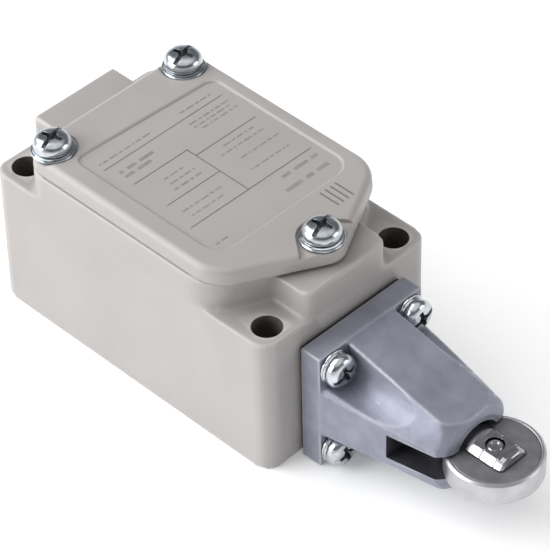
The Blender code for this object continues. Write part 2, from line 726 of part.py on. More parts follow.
def build_plunger():
    """Forked plunger with its roller and pin, collar, and the spring that pushes it out."""
    shaft = turned(
        "plunger",
        [
            (0.0, PLUNGER_FRONT),
            (PLUNGER_RADIUS - 0.0004, PLUNGER_FRONT),
            (PLUNGER_RADIUS, PLUNGER_FRONT - 0.0004),
            (PLUNGER_RADIUS, COLLAR_X + TOUCH),
            (SPINDLE_RADIUS, COLLAR_X + TOUCH),
            (SPINDLE_RADIUS, SPINDLE_END),
            (0.0, SPINDLE_END),
        ],
        AXIS,
        "X",
        STEEL,
        steps=32,
    )
    slot_half = ROLLER_THICKNESS / 2 + SLIDE
    slot_rear = ROLLER_X - ROLLER_DIAMETER / 2 - TOUCH
    reach = PLUNGER_RADIUS + FACE_LIFT
    cut(
        shaft,
        block(
            "fork_slot",
            (slot_rear, PLUNGER_FRONT + FACE_LIFT),
            (-reach, reach),
            (AXIS_Z - slot_half, AXIS_Z + slot_half),
        ),
    )
    for sign in (-1, 1):
        flat = sorted((AXIS_Z + sign * FORK_FLAT, AXIS_Z + sign * reach))
        flat_x = (ROLLER_X - 0.0028, PLUNGER_FRONT + FACE_LIFT)
        cut(shaft, block(f"fork_flat_{sign}", flat_x, (-reach, reach), flat))
    at = (ROLLER_X, 0.0, AXIS_Z)
    cut(shaft, rod("pin_bore", PIN_DIAMETER / 2 + TOUCH, -reach, reach, at, "Z", steps=20))
    rear_bore = INNER_RADIUS + SLIDE
    cut(shaft, rod("spindle_bore", rear_bore, SPINDLE_END - FACE_LIFT, SPINDLE_BORE_END, AXIS))
    smooth(shaft)
    half = ROLLER_THICKNESS / 2
    edge = 0.0005
    radius = ROLLER_DIAMETER / 2
    bore = PIN_DIAMETER / 2 + TOUCH
    roller = turned(
        "roller",
        [
            (bore, half),
            (radius - edge, half),
            (radius, half - edge),
            (radius, edge - half),
            (radius - edge, -half),
            (bore, -half),
        ],
        at,
        "Z",
        STEEL,
        steps=64,
        closed=True,
    )
    smooth(roller)
    pin = rod(
        "roller_pin", PIN_DIAMETER / 2, -FORK_FLAT + TOUCH, FORK_FLAT - TOUCH, at, "Z", STEEL, steps=20
    )
    smooth(pin)
    collar_low = COLLAR_X - TOUCH - COLLAR_THICKNESS
    collar_outer = PASSAGE_RADIUS - LOOSE
    collar = ring(
        "spring_collar", SPINDLE_RADIUS + SLIDE, collar_outer, collar_low, COLLAR_X - TOUCH, AXIS, "X",
        STEEL
    )
    smooth(collar)
    bush = ring(
        "plunger_bush", PLUNGER_RADIUS + SLIDE, BUSH_RADIUS - TOUCH, SEAL_FRONT + TOUCH, BUSH_FRONT - TOUCH,
        AXIS, "X", BRONZE
    )
    smooth(bush)
    seal = ring(
        "wiper_seal", PLUNGER_RADIUS + SLIDE, SEAL_RADIUS - TOUCH, CHAMBER_FRONT + TOUCH,
        SEAL_FRONT - TOUCH, AXIS, "X", RUBBER
    )
    smooth(seal)
    guide = ring(
        "rod_guide", SPINDLE_RADIUS + SLIDE, PASSAGE_RADIUS - LOOSE, PASSAGE_STEP + TOUCH, GUIDE_FRONT,
        AXIS, "X", STEEL
    )
    smooth(guide)
    coil("return_spring", 0.0049, 0.0009, GUIDE_FRONT + TOUCH, collar_low - TOUCH, 5.5, AXIS, SPRING_STEEL)
    inner_end = HEAD_END - 0.0008
    inner = rod("inner_rod", INNER_RADIUS, INNER_TIP, inner_end, AXIS, "X", STEEL, steps=20)
    smooth(inner)
    coil(
        "overtravel_spring", 0.0014, 0.0005, inner_end + TOUCH, SPINDLE_BORE_END - TOUCH, 7, AXIS,
        SPRING_STEEL, 10
    )


# ---------------------------------------------------------------- switch unit

UNIT_BOTTOM = FLOOR + TOUCH
UNIT_TOP = UNIT_BOTTOM + UNIT_HEIGHT
CHAMBER_REAR = UNIT_REAR + 0.0045
UNIT_CHAMBER_FRONT = UNIT_FRONT - 0.0025
CHAMBER_HALF = 0.0050
PLATE_THICKNESS = 0.0010
TERMINALS = {"closed": -0.0045, "open": 0.0085}
TERMINAL_Y = 0.0093
BLADE_REAR = -0.0040
BLADE_FRONT = 0.0049
BLADE = 0.0008
UNIT_SCREWS = {"unit_near": (-0.0110, -0.0088), "unit_far": (-0.0110, 0.0088)}
GROUND_SCREW = (-0.0179, 0.0)
GROUND_SEAT = FLOOR + 0.0028


def build_switch_unit():
    """Built-in double-break switch: case, lid, plunger, carrier with two bridges, four terminals."""
    case = block(
        "switch_case", (UNIT_REAR, UNIT_FRONT), (-UNIT_HALF_WIDTH, UNIT_HALF_WIDTH),
        (UNIT_BOTTOM, UNIT_TOP), BLACK_RESIN
    )
    floor_z = AXIS_Z - 0.0040
    cut(
        case,
        block(
            "contact_chamber",
            (CHAMBER_REAR, UNIT_CHAMBER_FRONT),
            (-CHAMBER_HALF, CHAMBER_HALF),
            (floor_z, UNIT_TOP + FACE_LIFT),
        ),
        rod(
            "case_bore", INNER_RADIUS + LOOSE, UNIT_CHAMBER_FRONT - FACE_LIFT, UNIT_FRONT + FACE_LIFT, AXIS
        ),
    )
    for name, (x, y) in UNIT_SCREWS.items():
        cut(
            case,
            rod(
                f"case_hole_{name}",
                0.0015 + LOOSE,
                UNIT_BOTTOM - FACE_LIFT,
                UNIT_TOP + FACE_LIFT,
                (x, y, 0.0),
                "Z",
                steps=12,
            ),
        )
        screw(
            f"screw_{name}", (x, y, UNIT_TOP + TOUCH), "Z", UNIT_HEIGHT + 0.0015, head=0.0052, shank=0.0030
        )
    for name, x in TERMINALS.items():
        for side, sign in (("near", -1), ("far", 1)):
            y = sign * TERMINAL_Y
            low = UNIT_TOP - 0.0060
            cut(
                case,
                rod(
                    f"case_bore_{name}_{side}",
                    SCREW_SHANK / 2 + LOOSE,
                    low,
                    UNIT_TOP + FACE_LIFT,
                    (x, y, 0.0),
                    "Z",
                    steps=12,
                ),
            )
            build_terminal(name, side, x, sign)
    lid_low = UNIT_TOP + TOUCH + PLATE_THICKNESS + TOUCH
    block("switch_lid", (UNIT_REAR, UNIT_FRONT), (-0.0058, 0.0058), (lid_low, lid_low + 0.0016), RED_RESIN)
    plunger_rear = UNIT_CHAMBER_FRONT - 0.0006
    rod("switch_plunger", INNER_RADIUS, plunger_rear, INNER_TIP - TOUCH, AXIS, "X", RED_RESIN, steps=20)
    carrier_front = plunger_rear - TRAVEL * INNER_RATIO - CONTACT_TRAVEL - TOUCH
    carrier = block(
        "contact_carrier", (-0.0075, carrier_front), (-0.0015, 0.0015), (floor_z + TOUCH, AXIS_Z + 0.0016),
        RED_RESIN
    )
    coil(
        "contact_spring",
        0.0013,
        0.0004,
        carrier_front + TOUCH,
        plunger_rear - TOUCH,
        5,
        AXIS,
        SPRING_STEEL,
        10,
    )
    for name, x in (("closed", BLADE_REAR), ("open", BLADE_FRONT)):
        half = BLADE / 2
        slot = block(
            f"blade_slot_{name}", (x - half - SLIDE, x + half + SLIDE), (-0.003, 0.003),
            (AXIS_Z - 0.0018, AXIS_Z + 0.0011)
        )
        cut(carrier, slot)
        block(
            f"contact_bridge_{name}", (x - half, x + half), (-0.0044, 0.0044),
            (AXIS_Z - 0.0018 + SLIDE, AXIS_Z + 0.0011 - SLIDE), BRASS
        )


def build_terminal(name, side, x, sign):
    """One fixed contact: a plate under its screw, a bridge to the chamber and a leg beside the carrier."""
    low = UNIT_TOP + TOUCH
    high = low + PLATE_THICKNESS
    across = sorted((sign * 0.0028, sign * 0.0124))
    body = block(f"terminal_{name}_{side}", (x - 0.0028, x + 0.0028), across, (low, high), BRASS)
    contact = BLADE_REAR - BLADE / 2 - TOUCH
    if name == "open":
        contact = BLADE_FRONT + BLADE / 2 + CONTACT_TRAVEL + TOUCH
    leg_x = (contact - 0.0011, contact) if name == "closed" else (contact, contact + 0.0011)
    leg = block(
        f"leg_{name}_{side}",
        leg_x,
        sorted((sign * 0.0028, sign * 0.0044)),
        (AXIS_Z - 0.0020, high - 0.0002),
    )
    join(body, leg)
    y = sign * TERMINAL_Y
    hole = SCREW_SHANK / 2 + LOOSE
    cut(
        body,
        rod(
            f"terminal_hole_{name}_{side}",
            hole,
            low - FACE_LIFT,
            high + FACE_LIFT,
            (x, y, 0.0),
            "Z",
            steps=12,
        ),
    )
    washer(f"terminal_washer_{name}_{side}", (x, y, high + TOUCH), "Z", outer=0.0031)
    seat = high + 2 * TOUCH + WASHER_THICKNESS
    screw(f"terminal_screw_{name}_{side}", (x, y, seat), "Z", 0.0060, head=0.0058)


def build_ground():
    """Ground screw and washer on a boss in the wiring space."""
    x, y = GROUND_SCREW
    washer("ground_washer", (x, y, GROUND_SEAT + TOUCH), "Z", outer=0.0034)
    screw("ground_screw", (x, y, GROUND_SEAT + 2 * TOUCH + WASHER_THICKNESS), "Z", 0.0050)


# ---------------------------------------------------------------- assembly


def ride(axis_name, at, names):
    """Parent moving pieces to an empty on their joint's axis."""
    empty = bpy.data.objects.new(axis_name, None)
    PARTS.objects.link(empty)
    empty.location = at
    for name in names:
        piece = bpy.data.objects[name]
        piece.parent = empty
        piece.matrix_parent_inverse = Matrix.Translation(-Vector(at))


build_housing()
build_cover()
build_head()
build_plunger()
build_switch_unit()
build_ground()
ride("plunger_axis", (PLUNGER_FRONT, 0.0, AXIS_Z), ["plunger", "roller", "roller_pin", "spring_collar"])
ride("inner_axis", (INNER_TIP, 0.0, AXIS_Z), ["inner_rod", "switch_plunger"])
ride(
    "contact_axis", (0.0, 0.0, AXIS_Z), ["contact_carrier", "contact_bridge_closed", "contact_bridge_open"]
)
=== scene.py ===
"""Looks of a box limit switch with a roller plunger head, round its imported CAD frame. Metres."""

from __future__ import annotations

import json
import logging
import math
from dataclasses import dataclass, field, replace
from enum import Enum
from typing import Iterable, Sequence

import bmesh
import bpy
from mathutils import Matrix, Vector


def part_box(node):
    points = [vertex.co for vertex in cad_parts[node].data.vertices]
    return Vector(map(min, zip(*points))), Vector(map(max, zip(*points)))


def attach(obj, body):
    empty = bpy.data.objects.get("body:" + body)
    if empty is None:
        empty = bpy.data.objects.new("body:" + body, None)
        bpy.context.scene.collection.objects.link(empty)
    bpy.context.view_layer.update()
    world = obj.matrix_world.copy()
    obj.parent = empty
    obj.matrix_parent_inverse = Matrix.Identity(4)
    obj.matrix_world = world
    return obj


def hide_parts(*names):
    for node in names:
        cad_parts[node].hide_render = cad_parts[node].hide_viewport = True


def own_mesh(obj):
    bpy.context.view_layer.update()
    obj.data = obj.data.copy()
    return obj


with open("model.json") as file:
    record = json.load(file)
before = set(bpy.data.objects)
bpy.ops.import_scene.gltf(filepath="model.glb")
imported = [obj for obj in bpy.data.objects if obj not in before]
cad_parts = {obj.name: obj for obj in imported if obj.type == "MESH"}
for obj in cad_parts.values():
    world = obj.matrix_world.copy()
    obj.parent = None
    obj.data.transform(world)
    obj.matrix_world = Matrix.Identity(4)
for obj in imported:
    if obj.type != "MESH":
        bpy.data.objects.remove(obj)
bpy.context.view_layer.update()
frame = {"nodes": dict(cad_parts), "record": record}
LOG = logging.getLogger("limit_switch")
MM = 0.001
CROWN = 0.001  # how far cutting tools stand past the surface that they cut
TRAVEL = 0.0073  # of the plunger, from its free place to full travel
ROD_SHARE = 0.5  # of the plunger's travel that the inner rod makes
CONTACT_SHARE = 0.12  # of the plunger's travel that the contacts make
TIP_CORNER = 0.0045  # radius of the cover's point at the head end
CONDUIT_HEIGHT = 0.0195  # of the conduit's axis above the mounting face
COVER_SCREWS = ("conduit_near", "conduit_far", "head_end")
HEAD_SCREWS = ("top_near", "top_far", "bottom_near", "bottom_far")

Corner = tuple[float, float, float]
Point = Sequence[float]
Profile = list[tuple[float, float]]
Colour = tuple[float, float, float, float]
Stroke = tuple[Point, Point, float]


class Axis(Enum):
    """The directions that turned pieces lie along, each as the turn that takes +Z there."""

    X = (0.0, math.pi / 2, 0.0)
    Z = (0.0, 0.0, 0.0)


class Slot(Enum):
    """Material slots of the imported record."""

    PAINT = "painted_casting"
    CASTING = "bare_casting"
    ZINC = "zinc_plated_steel"
    STEEL = "ground_steel"
    SPRING = "spring_wire"
    BRASS = "contact_brass"
    BRONZE = "bush_bronze"
    RUBBER = "seal_rubber"
    BLACK = "black_resin"
    RED = "red_resin"


# ---------------------------------------------------------------- finishes


def linear(code: str) -> Colour:
    """Turn an sRGB hex colour into linear light.

    Args:
        code: Six hex digits after a hash.

    Returns:
        Red, green, blue and an alpha of one.
    """
    shares = [int(code[index : index + 2], 16) / 255 for index in (1, 3, 5)]
    light = [
        share / 12.92 if share <= 0.04045 else ((share + 0.055) / 1.055) ** 2.4 for share in shares
    ]
    return (light[0], light[1], light[2], 1.0)


def per_metre(size_mm: float) -> float:
    """Texture scale that repeats about once in a size given in millimetres."""
    return 1.0 / (size_mm * MM)


def add_node(
    tree: bpy.types.NodeTree,
    kind: str,
    settings: dict[str | int, object] | None = None,
    links: dict[str | int, bpy.types.NodeSocket] | None = None,
) -> bpy.types.Node:
    """Add one node with its settings and links.

    Args:
        tree: The material's or world's node tree.
        kind: Blender's name for the node type.
        settings: Values by input name or number, or by the node's own property.
        links: Sockets that feed inputs, by input name or number.

    Returns:
        The new node.
    """
    made = tree.nodes.new(kind)
    for key, value in (settings or {}).items():
        if isinstance(key, int) or key in made.inputs:
            made.inputs[key].default_value = value
        else:
            setattr(made, key, value)
    for key, source in (links or {}).items():
        tree.links.new(source, made.inputs[key])
    return made


def ramp(node: bpy.types.Node, stops: Sequence[tuple[float, Colour]]) -> bpy.types.Node:
    """Set a colour ramp's stops.

    Args:
        node: A colour ramp node.
        stops: Place and colour of each stop, from 0 to 1.

    Returns:
        The same node.
    """
    elements = node.color_ramp.elements
    while len(elements) < len(stops):
        elements.new(1.0)
    for element, (place, colour) in zip(elements, stops):
        element.position = place
        element.color = colour
    return node


@dataclass(frozen=True)
class Finish:
    """A surface with a mottled colour, a fine relief and softened edges.

    Colours run from `dark` to `light` over patches of `patch_mm`. The relief has a grain of
    `grain_mm` and a depth of `depth_mm`. `stretch` squeezes both along X, Y or Z, which leaves
    the lines that grinding makes round a shaft.
    """

    name: str
    light: str
    dark: str
    metallic: float
    roughness: float
    roughness_spread: float = 0.08
    patch_mm: float = 12.0
    grain_mm: float = 0.8
    depth_mm: float = 0.01
    edge_mm: float = 0.12
    # strength of a painted highlight mixed in on raised edges
    edge_highlight: float = 0.0
    coat: float = 0.0
    stretch: tuple[float, float, float] = (1.0, 1.0, 1.0)
    detail: float = 4.0

    def make(self) -> bpy.types.Material:
        """Build the node material, or return it if it exists already."""
        found = bpy.data.materials.get(self.name)
        if found:
            return found
        material = bpy.data.materials.new(self.name)
        material.use_nodes = True
        tree = material.node_tree
        shader = tree.nodes["Principled BSDF"]
        shader.inputs["Metallic"].default_value = self.metallic
        shader.inputs["Coat Weight"].default_value = self.coat
        shader.inputs["Coat Roughness"].default_value = 0.25
        place = add_node(tree, "ShaderNodeTexCoord")
        drawn = add_node(
            tree, "ShaderNodeMapping", {"Scale": self.stretch}, {"Vector": place.outputs["Object"]}
        )
        patches = add_node(
            tree,
            "ShaderNodeTexNoise",
            {"Scale": per_metre(self.patch_mm), "Detail": self.detail, "Roughness": 0.55},
            {"Vector": drawn.outputs["Vector"]},
        )
        colours = ramp(
            add_node(tree, "ShaderNodeValToRGB", links={"Fac": patches.outputs["Fac"]}),
            [(0.32, linear(self.dark)), (0.68, linear(self.light))],
        )
        colour = colours.outputs["Color"]
        # painted highlight on the raised edges
        if self.edge_highlight:
            colour = self.paint_edge_highlight(tree, colour)
        tree.links.new(colour, shader.inputs["Base Color"])
        grain = add_node(
            tree,
            "ShaderNodeTexNoise",
            {"Scale": per_metre(self.grain_mm), "Detail": 2.0},
            {"Vector": drawn.outputs["Vector"]},
        )
        spread = self.roughness_spread
        rough = add_node(
            tree,
            "ShaderNodeMapRange",
            {"To Min": self.roughness - spread, "To Max": self.roughness + spread},
            {"Value": patches.outputs["Fac"]},
        )
        tree.links.new(rough.outputs["Result"], shader.inputs["Roughness"])
        soft = add_node(tree, "ShaderNodeBevel", {"samples": 4, "Radius": self.edge_mm * MM})
        relief = add_node(
            tree,
            "ShaderNodeBump",
            {"Strength": 1.0, "Distance": self.depth_mm * MM},
            {"Height": grain.outputs["Fac"], "Normal": soft.outputs["Normal"]},
        )
        tree.links.new(relief.outputs["Normal"], shader.inputs["Normal"])
        return material

    def paint_edge_highlight(
        self, tree: bpy.types.NodeTree, colour: bpy.types.NodeSocket
    ) -> bpy.types.NodeSocket:
        """Mix a painted highlight into the colour on the raised edges.

        Args:
            tree: The material's node tree.
            colour: The colour that the rest of the surface keeps.

        Returns:
            The mixed colour.
        """
        shape = add_node(tree, "ShaderNodeNewGeometry")
        raised = add_node(
            tree,
            "ShaderNodeMapRange",
            {"From Min": 0.505, "From Max": 0.56, "To Max": self.edge_highlight},
            {"Value": shape.outputs["Pointiness"]},
        )
        mixed = add_node(
            tree,
            "ShaderNodeMix",
            {"data_type": "RGBA", 7: (1.0, 1.0, 1.0, 1.0)},
            {0: raised.outputs["Result"], 6: colour},
        )
        return mixed.outputs[2]


# Sprayed and baked satin enamel: slight orange peel, with a painted highlight on its edges.
PAINT = Finish(
    "satin_enamel", "#A39F9D", "#9C9896", 0.0, 0.42, 0.05, 22.0, 0.9, 0.010, 0.35, 0.16, 0.15
)
# The same enamel on the cover, without the painted edge highlight.
PLATE = replace(PAINT, name="satin_enamel_on_cover", edge_highlight=0.0)
# Engraved rules, drawn darker than the enamel as a painted shade in their grooves, and the paler
# rows of print, worn thin.
RULE_PAINTED_SHADE = Finish(
    "engraved_rules_painted_shade", "#77726F", "#6A6663", 0.0, 0.55, 0.05, 9.0, 0.5, 0.008, 0.05
)
PRINT = Finish("worn_printing_ink", "#8D8884", "#807B78", 0.0, 0.55, 0.05, 2.0, 0.5, 0.008, 0.05)
# Bare aluminium die casting, tumbled: grey-blue, flow patches, fine pits, and a painted highlight
# on its edges.
CASTING = Finish(
    "tumbled_die_casting", "#9395A3", "#7F8190", 0.50, 0.50, 0.08, 5.0, 0.35, 0.022, 0.30, 0.30
)
# Bright zinc plate on cold-headed screws: nearly a mirror, with soft ripples.
ZINC = Finish("bright_zinc_plate", "#D0D4D8", "#AEB4BA", 1.0, 0.19, 0.06, 1.6, 0.7, 0.012, 0.10)
# The same plate down in the screw recess, darker and rougher as a painted shade.
ZINC_RECESS_SHADE = Finish("zinc_plate_painted_shade", "#A3A8AC", "#8B9094", 1.0, 0.38, 0.06, 1.0, 0.4, 0.008, 0.05)
# Painted shade on the faces cut into the head: the roller slot, the bore and the screw holes, as
# cast.
CAST_CUT_SHADE = Finish("cast_cuts_painted_shade", "#4C4C55", "#3C3C44", 0.5, 0.50, 0.06, 3.0, 0.35, 0.015, 0.05)
# The mounting holes, unpainted, darkened with painted shade for their depth.
BORE_PAINTED_SHADE = Finish("unpainted_bore_painted_shade", "#5E5A56", "#4A4744", 0.0, 0.70, 0.08, 3.0, 0.4, 0.020, 0.05)
# Centreless-ground and polished steel: fine lines round the shaft.
STEEL = Finish(
    "polished_ground_steel",
    "#B4B3B6",
    "#9B9A9E",
    1.0,
    0.24,
    0.05,
    2.5,
    0.6,
    0.0006,
    0.05,
    stretch=(6.0, 1.0, 1.0),
)
# Turned and hardened steel rim, wiped with oil.
RIM = Finish("hardened_rim_steel", "#C2C1C4", "#B2B1B4", 1.0, 0.36, 0.06, 3.0, 0.3, 0.004, 0.15)
# Turned face, duller and darker than the rim, with a fine tool grain.
FACE = Finish("turned_roller_face", "#959497", "#858487", 1.0, 0.46, 0.06, 2.0, 0.2, 0.006, 0.08)
# Hard-drawn wire, greyed by its oil film; a smooth, fairly sharp shine along each turn.
SPRING = Finish("drawn_spring_wire", "#77787B", "#5D5E61", 1.0, 0.30, 0.05, 2.0, 0.3, 0.004, 0.05)
# Stamped brass, tarnished a little in patches, so its shine is uneven.
BRASS = Finish("stamped_brass", "#C9A45A", "#B48F49", 1.0, 0.32, 0.06, 4.0, 0.4, 0.005, 0.12)
# Pressed and sintered bronze, full of oil: brown, matt and finely pitted.
BRONZE = Finish("sintered_bronze", "#8A6A48", "#6F5438", 1.0, 0.48, 0.08, 1.5, 0.15, 0.010, 0.08)
# Moulded nitrile rubber: near black, matt, with soft edges.
RUBBER = Finish(
    "moulded_nitrile_rubber", "#232325", "#18181A", 0.0, 0.68, 0.05, 6.0, 0.4, 0.010, 0.15
)
# Moulded phenolic resin, black or dark red: satin, with the filler's faint mottle.
BLACK = Finish("black_phenolic", "#26272A", "#1C1D1F", 0.0, 0.45, 0.05, 8.0, 0.6, 0.006, 0.25)
RED = Finish("red_phenolic", "#7A2A20", "#6A221A", 0.0, 0.42, 0.05, 8.0, 0.6, 0.006, 0.25)


# ---------------------------------------------------------------- mesh tools


def rounded(corners: Sequence[Corner], steps: int = 8) -> list[Vector]:
    """Outline through corners, each turned into an arc.

    Args:
        corners: x, y and radius of each corner, in order round the outline.
        steps: Straight pieces in each arc.

    Returns:
        The outline's points, the same number for each corner.
    """
    outline = []
    for index, (x, y, radius) in enumerate(corners):
        corner = Vector((x, y))
        before = (Vector(corners[index - 1][:2]) - corner).normalized()
        after = (Vector(corners[(index + 1) % len(corners)][:2]) - corner).normalized()
        half = before.angle(after) / 2
        centre = corner + (before + after).normalized() * radius / math.sin(half)
        start = corner + before * radius / math.tan(half) - centre
        turn = math.copysign(math.pi - 2 * half, before.cross(after))
        for step in range(steps + 1):
            outline.append(centre + start @ Matrix.Rotation(turn * step / steps, 2))
    return outline


def inset(corners: Sequence[Corner], by: float) -> list[Corner]:
    """Move every edge of a convex outline inwards.

    Args:
        corners: x, y and radius of each corner, anticlockwise.
        by: Distance inwards, or outwards if it is negative.

    Returns:
        The new corners, their radii shortened by the same distance.
    """
    moved = []
    for index, (x, y, radius) in enumerate(corners):
        corner = Vector((x, y))
        before = (Vector(corners[index - 1][:2]) - corner).normalized()
        after = (Vector(corners[(index + 1) % len(corners)][:2]) - corner).normalized()
        half = before.angle(after) / 2
        place = corner + (before + after).normalized() * by / math.sin(half)
        moved.append((place.x, place.y, max(radius - by, 0.0001)))
    return moved


def mirrored(corners: Sequence[Corner]) -> list[Corner]:
    """Add the far half of an outline that is symmetric about the X axis.

    Args:
        corners: Corners of the near half, in order.

    Returns:
        Both halves, without a second copy of corners on the axis.
    """
    far = [(x, -y, radius) for x, y, radius in reversed(corners) if y != 0.0]
    return list(corners) + far


def new_object(name: str, bm: bmesh.types.BMesh) -> bpy.types.Object:
    """Make an object from a bmesh and free it.

    Args:
        name: Name of the object and its mesh.
        bm: The shape, whose faces are turned outwards first.

    Returns:
        The object, in the scene's own collection.
    """
    bmesh.ops.recalc_face_normals(bm, faces=bm.faces)
    mesh = bpy.data.meshes.new(name)
    bm.to_mesh(mesh)
    bm.free()
    obj = bpy.data.objects.new(name, mesh)
    bpy.context.scene.collection.objects.link(obj)
    return obj


def loft(name: str, rings: Sequence[Sequence[Point]]) -> bpy.types.Object:
    """Closed solid through rings of points, with a face over each end.

    Args:
        name: Name of the object.
        rings: Rings with the same number of points.

    Returns:
        The object.
    """
    bm = bmesh.new()
    made = [[bm.verts.new(point) for point in ring] for ring in rings]
    for low, high in zip(made, made[1:]):
        for index in range(len(low)):
            after = (index + 1) % len(low)
            bm.faces.new((low[index], low[after], high[after], high[index]))
    bm.faces.new(made[0])
    bm.faces.new(made[-1])
    return new_object(name, bm)


def slab(name: str, corners: Sequence[Corner], low: float, high: float) -> bpy.types.Object:
    """Upright prism with an outline of rounded corners.

    Args:
        name: Name of the object.
        corners: x, y and radius of each corner.
        low: Height of the bottom.
        high: Height of the top.

    Returns:
        The object.
    """
    outline = rounded(corners)
    return loft(name, [[(*point, z) for point in outline] for z in (low, high)])


def box(name: str, low: Point, high: Point) -> bpy.types.Object:
    """Plain box, used as a tool or as the start of a shaped piece.

    Args:
        name: Name of the object.
        low: Lowest corner.
        high: Highest corner.

    Returns:
        The object.
    """
    bm = bmesh.new()
    bmesh.ops.create_cube(bm, size=1.0)
    low, high = Vector(low), Vector(high)
    bmesh.ops.scale(bm, vec=high - low, verts=bm.verts)
    bmesh.ops.translate(bm, vec=(high + low) / 2, verts=bm.verts)
    return new_object(name, bm)


def turned(
    name: str, profile: Profile, at: Point, axis: Axis = Axis.Z, steps: int = 48
) -> bpy.types.Object:
    """Turned solid.

    Args:
        name: Name of the object.
        profile: Radius and height along the axis, from one end to the other. Radii above zero
            at both ends make a ring, whose profile closes on itself.
        at: The point that heights are measured from.
        axis: Direction of the axis.
        steps: Faces round the piece.

    Returns:
        The object.
    """
    place = Matrix.Translation(Vector(at)) @ Matrix.Rotation(axis.value[1], 4, "Y")
    hollow = profile[0][0] > 0.0 and profile[-1][0] > 0.0
    bm = bmesh.new()
    rings = []
    for radius, height in profile:
        if radius == 0.0:
            rings.append([bm.verts.new(place @ Vector((0.0, 0.0, height)))])
            continue
        ring = []
        for step in range(steps):
            angle = 2 * math.pi * step / steps
            point = Vector((radius * math.cos(angle), radius * math.sin(angle), height))
            ring.append(bm.verts.new(place @ point))
        rings.append(ring)
    pairs = list(zip(rings, rings[1:]))
    if hollow:
        pairs.append((rings[-1], rings[0]))
    for low, high in pairs:
        for step in range(steps):
            after = (step + 1) % steps
            corners = [low[step % len(low)], low[after % len(low)]]
            corners += [high[after % len(high)], high[step % len(high)]]
            bm.faces.new(list(dict.fromkeys(corners)))
    return new_object(name, bm)


def settle(obj: bpy.types.Object) -> bpy.types.Object:
    """Apply every modifier of an object.

    Args:
        obj: The object, which is changed.

    Returns:
        The same object.
    """
    graph = bpy.context.evaluated_depsgraph_get()
    mesh = bpy.data.meshes.new_from_object(obj.evaluated_get(graph))
    obj.modifiers.clear()
    obj.data = mesh
    return obj


def combine(
    obj: bpy.types.Object,
    tools: Iterable[bpy.types.Object],
    operation: str,
    skins: tuple[Finish, Finish] | None = None,
) -> bpy.types.Object:
    """Apply Booleans with tools, which are removed.

    Args:
        obj: The piece worked on.
        tools: The other shapes.
        operation: UNION, DIFFERENCE or INTERSECT.
        skins: Finish of the piece and of the faces that the tools leave, where the two differ.

    Returns:
        The piece.
    """
    tools = list(tools)
    if skins and not obj.data.materials:
        obj.data.materials.append(skins[0].make())
    for tool in tools:
        modifier = obj.modifiers.new(tool.name, "BOOLEAN")
        modifier.object = tool
        modifier.operation = operation
        if skins:
            tool.data.materials.append(skins[1].make())
            modifier.material_mode = "TRANSFER"
    settle(obj)
    for tool in tools:
        bpy.data.objects.remove(tool)
    return obj


def cast(obj: bpy.types.Object, grain: float, passes: int) -> bpy.types.Object:
    """Round every edge and inner corner, as a die casting has them.

    Args:
        obj: A closed shape with sharp edges.
        grain: Size of the new faces.
        passes: How often they are smoothed, so how round the edges get.

    Returns:
        The piece.
    """
    remesh = obj.modifiers.new("grain", "REMESH")
    remesh.mode = "VOXEL"
    remesh.voxel_size = grain
    soften = obj.modifiers.new("soften", "SMOOTH")
    soften.factor = 0.5
    soften.iterations = passes
    flatten = obj.modifiers.new("flatten", "DECIMATE")
    flatten.decimate_type = "DISSOLVE"
    flatten.angle_limit = math.radians(0.6)
    return settle(obj)


def dress(
    obj: bpy.types.Object,
    finish: Finish,
    body: str,
    replaces: Iterable[str] = (),
    crisp: float = 30.0,
) -> bpy.types.Object:
    """Give a finished piece its material, its body and the CAD nodes that it stands for.

    Args:
        obj: The piece, in place.
        finish: Its surface.
        body: The CAD body that it rides on.
        replaces: CAD nodes that it stands for.
        crisp: Edges sharper than this many degrees stay crisp.

    Returns:
        The piece.
    """
    if not obj.data.materials:
        obj.data.materials.append(finish.make())
    obj.data.shade_smooth()
    obj.data.set_sharp_from_angle(angle=math.radians(crisp))
    even = obj.modifiers.new("even_shading", "WEIGHTED_NORMAL")
    even.keep_sharp = True
    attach(obj, body)
    for node in replaces:
        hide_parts(node)
    LOG.info("%s: %d faces on %s", obj.name, len(obj.data.polygons), body)
    return obj


@dataclass(frozen=True)
class Room:
    """Box of a CAD node, which sizes and places come from."""

    low: Vector
    high: Vector

    @classmethod
    def of(cls, node: str) -> Room:
        """Box of the named CAD node."""
        return cls(*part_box(node))

    @property
    def centre(self) -> Vector:
        """Middle of the box."""
        return (self.low + self.high) / 2

    @property
    def size(self) -> Vector:
        """Lengths of the sides."""
        return self.high - self.low


# ---------------------------------------------------------------- screws


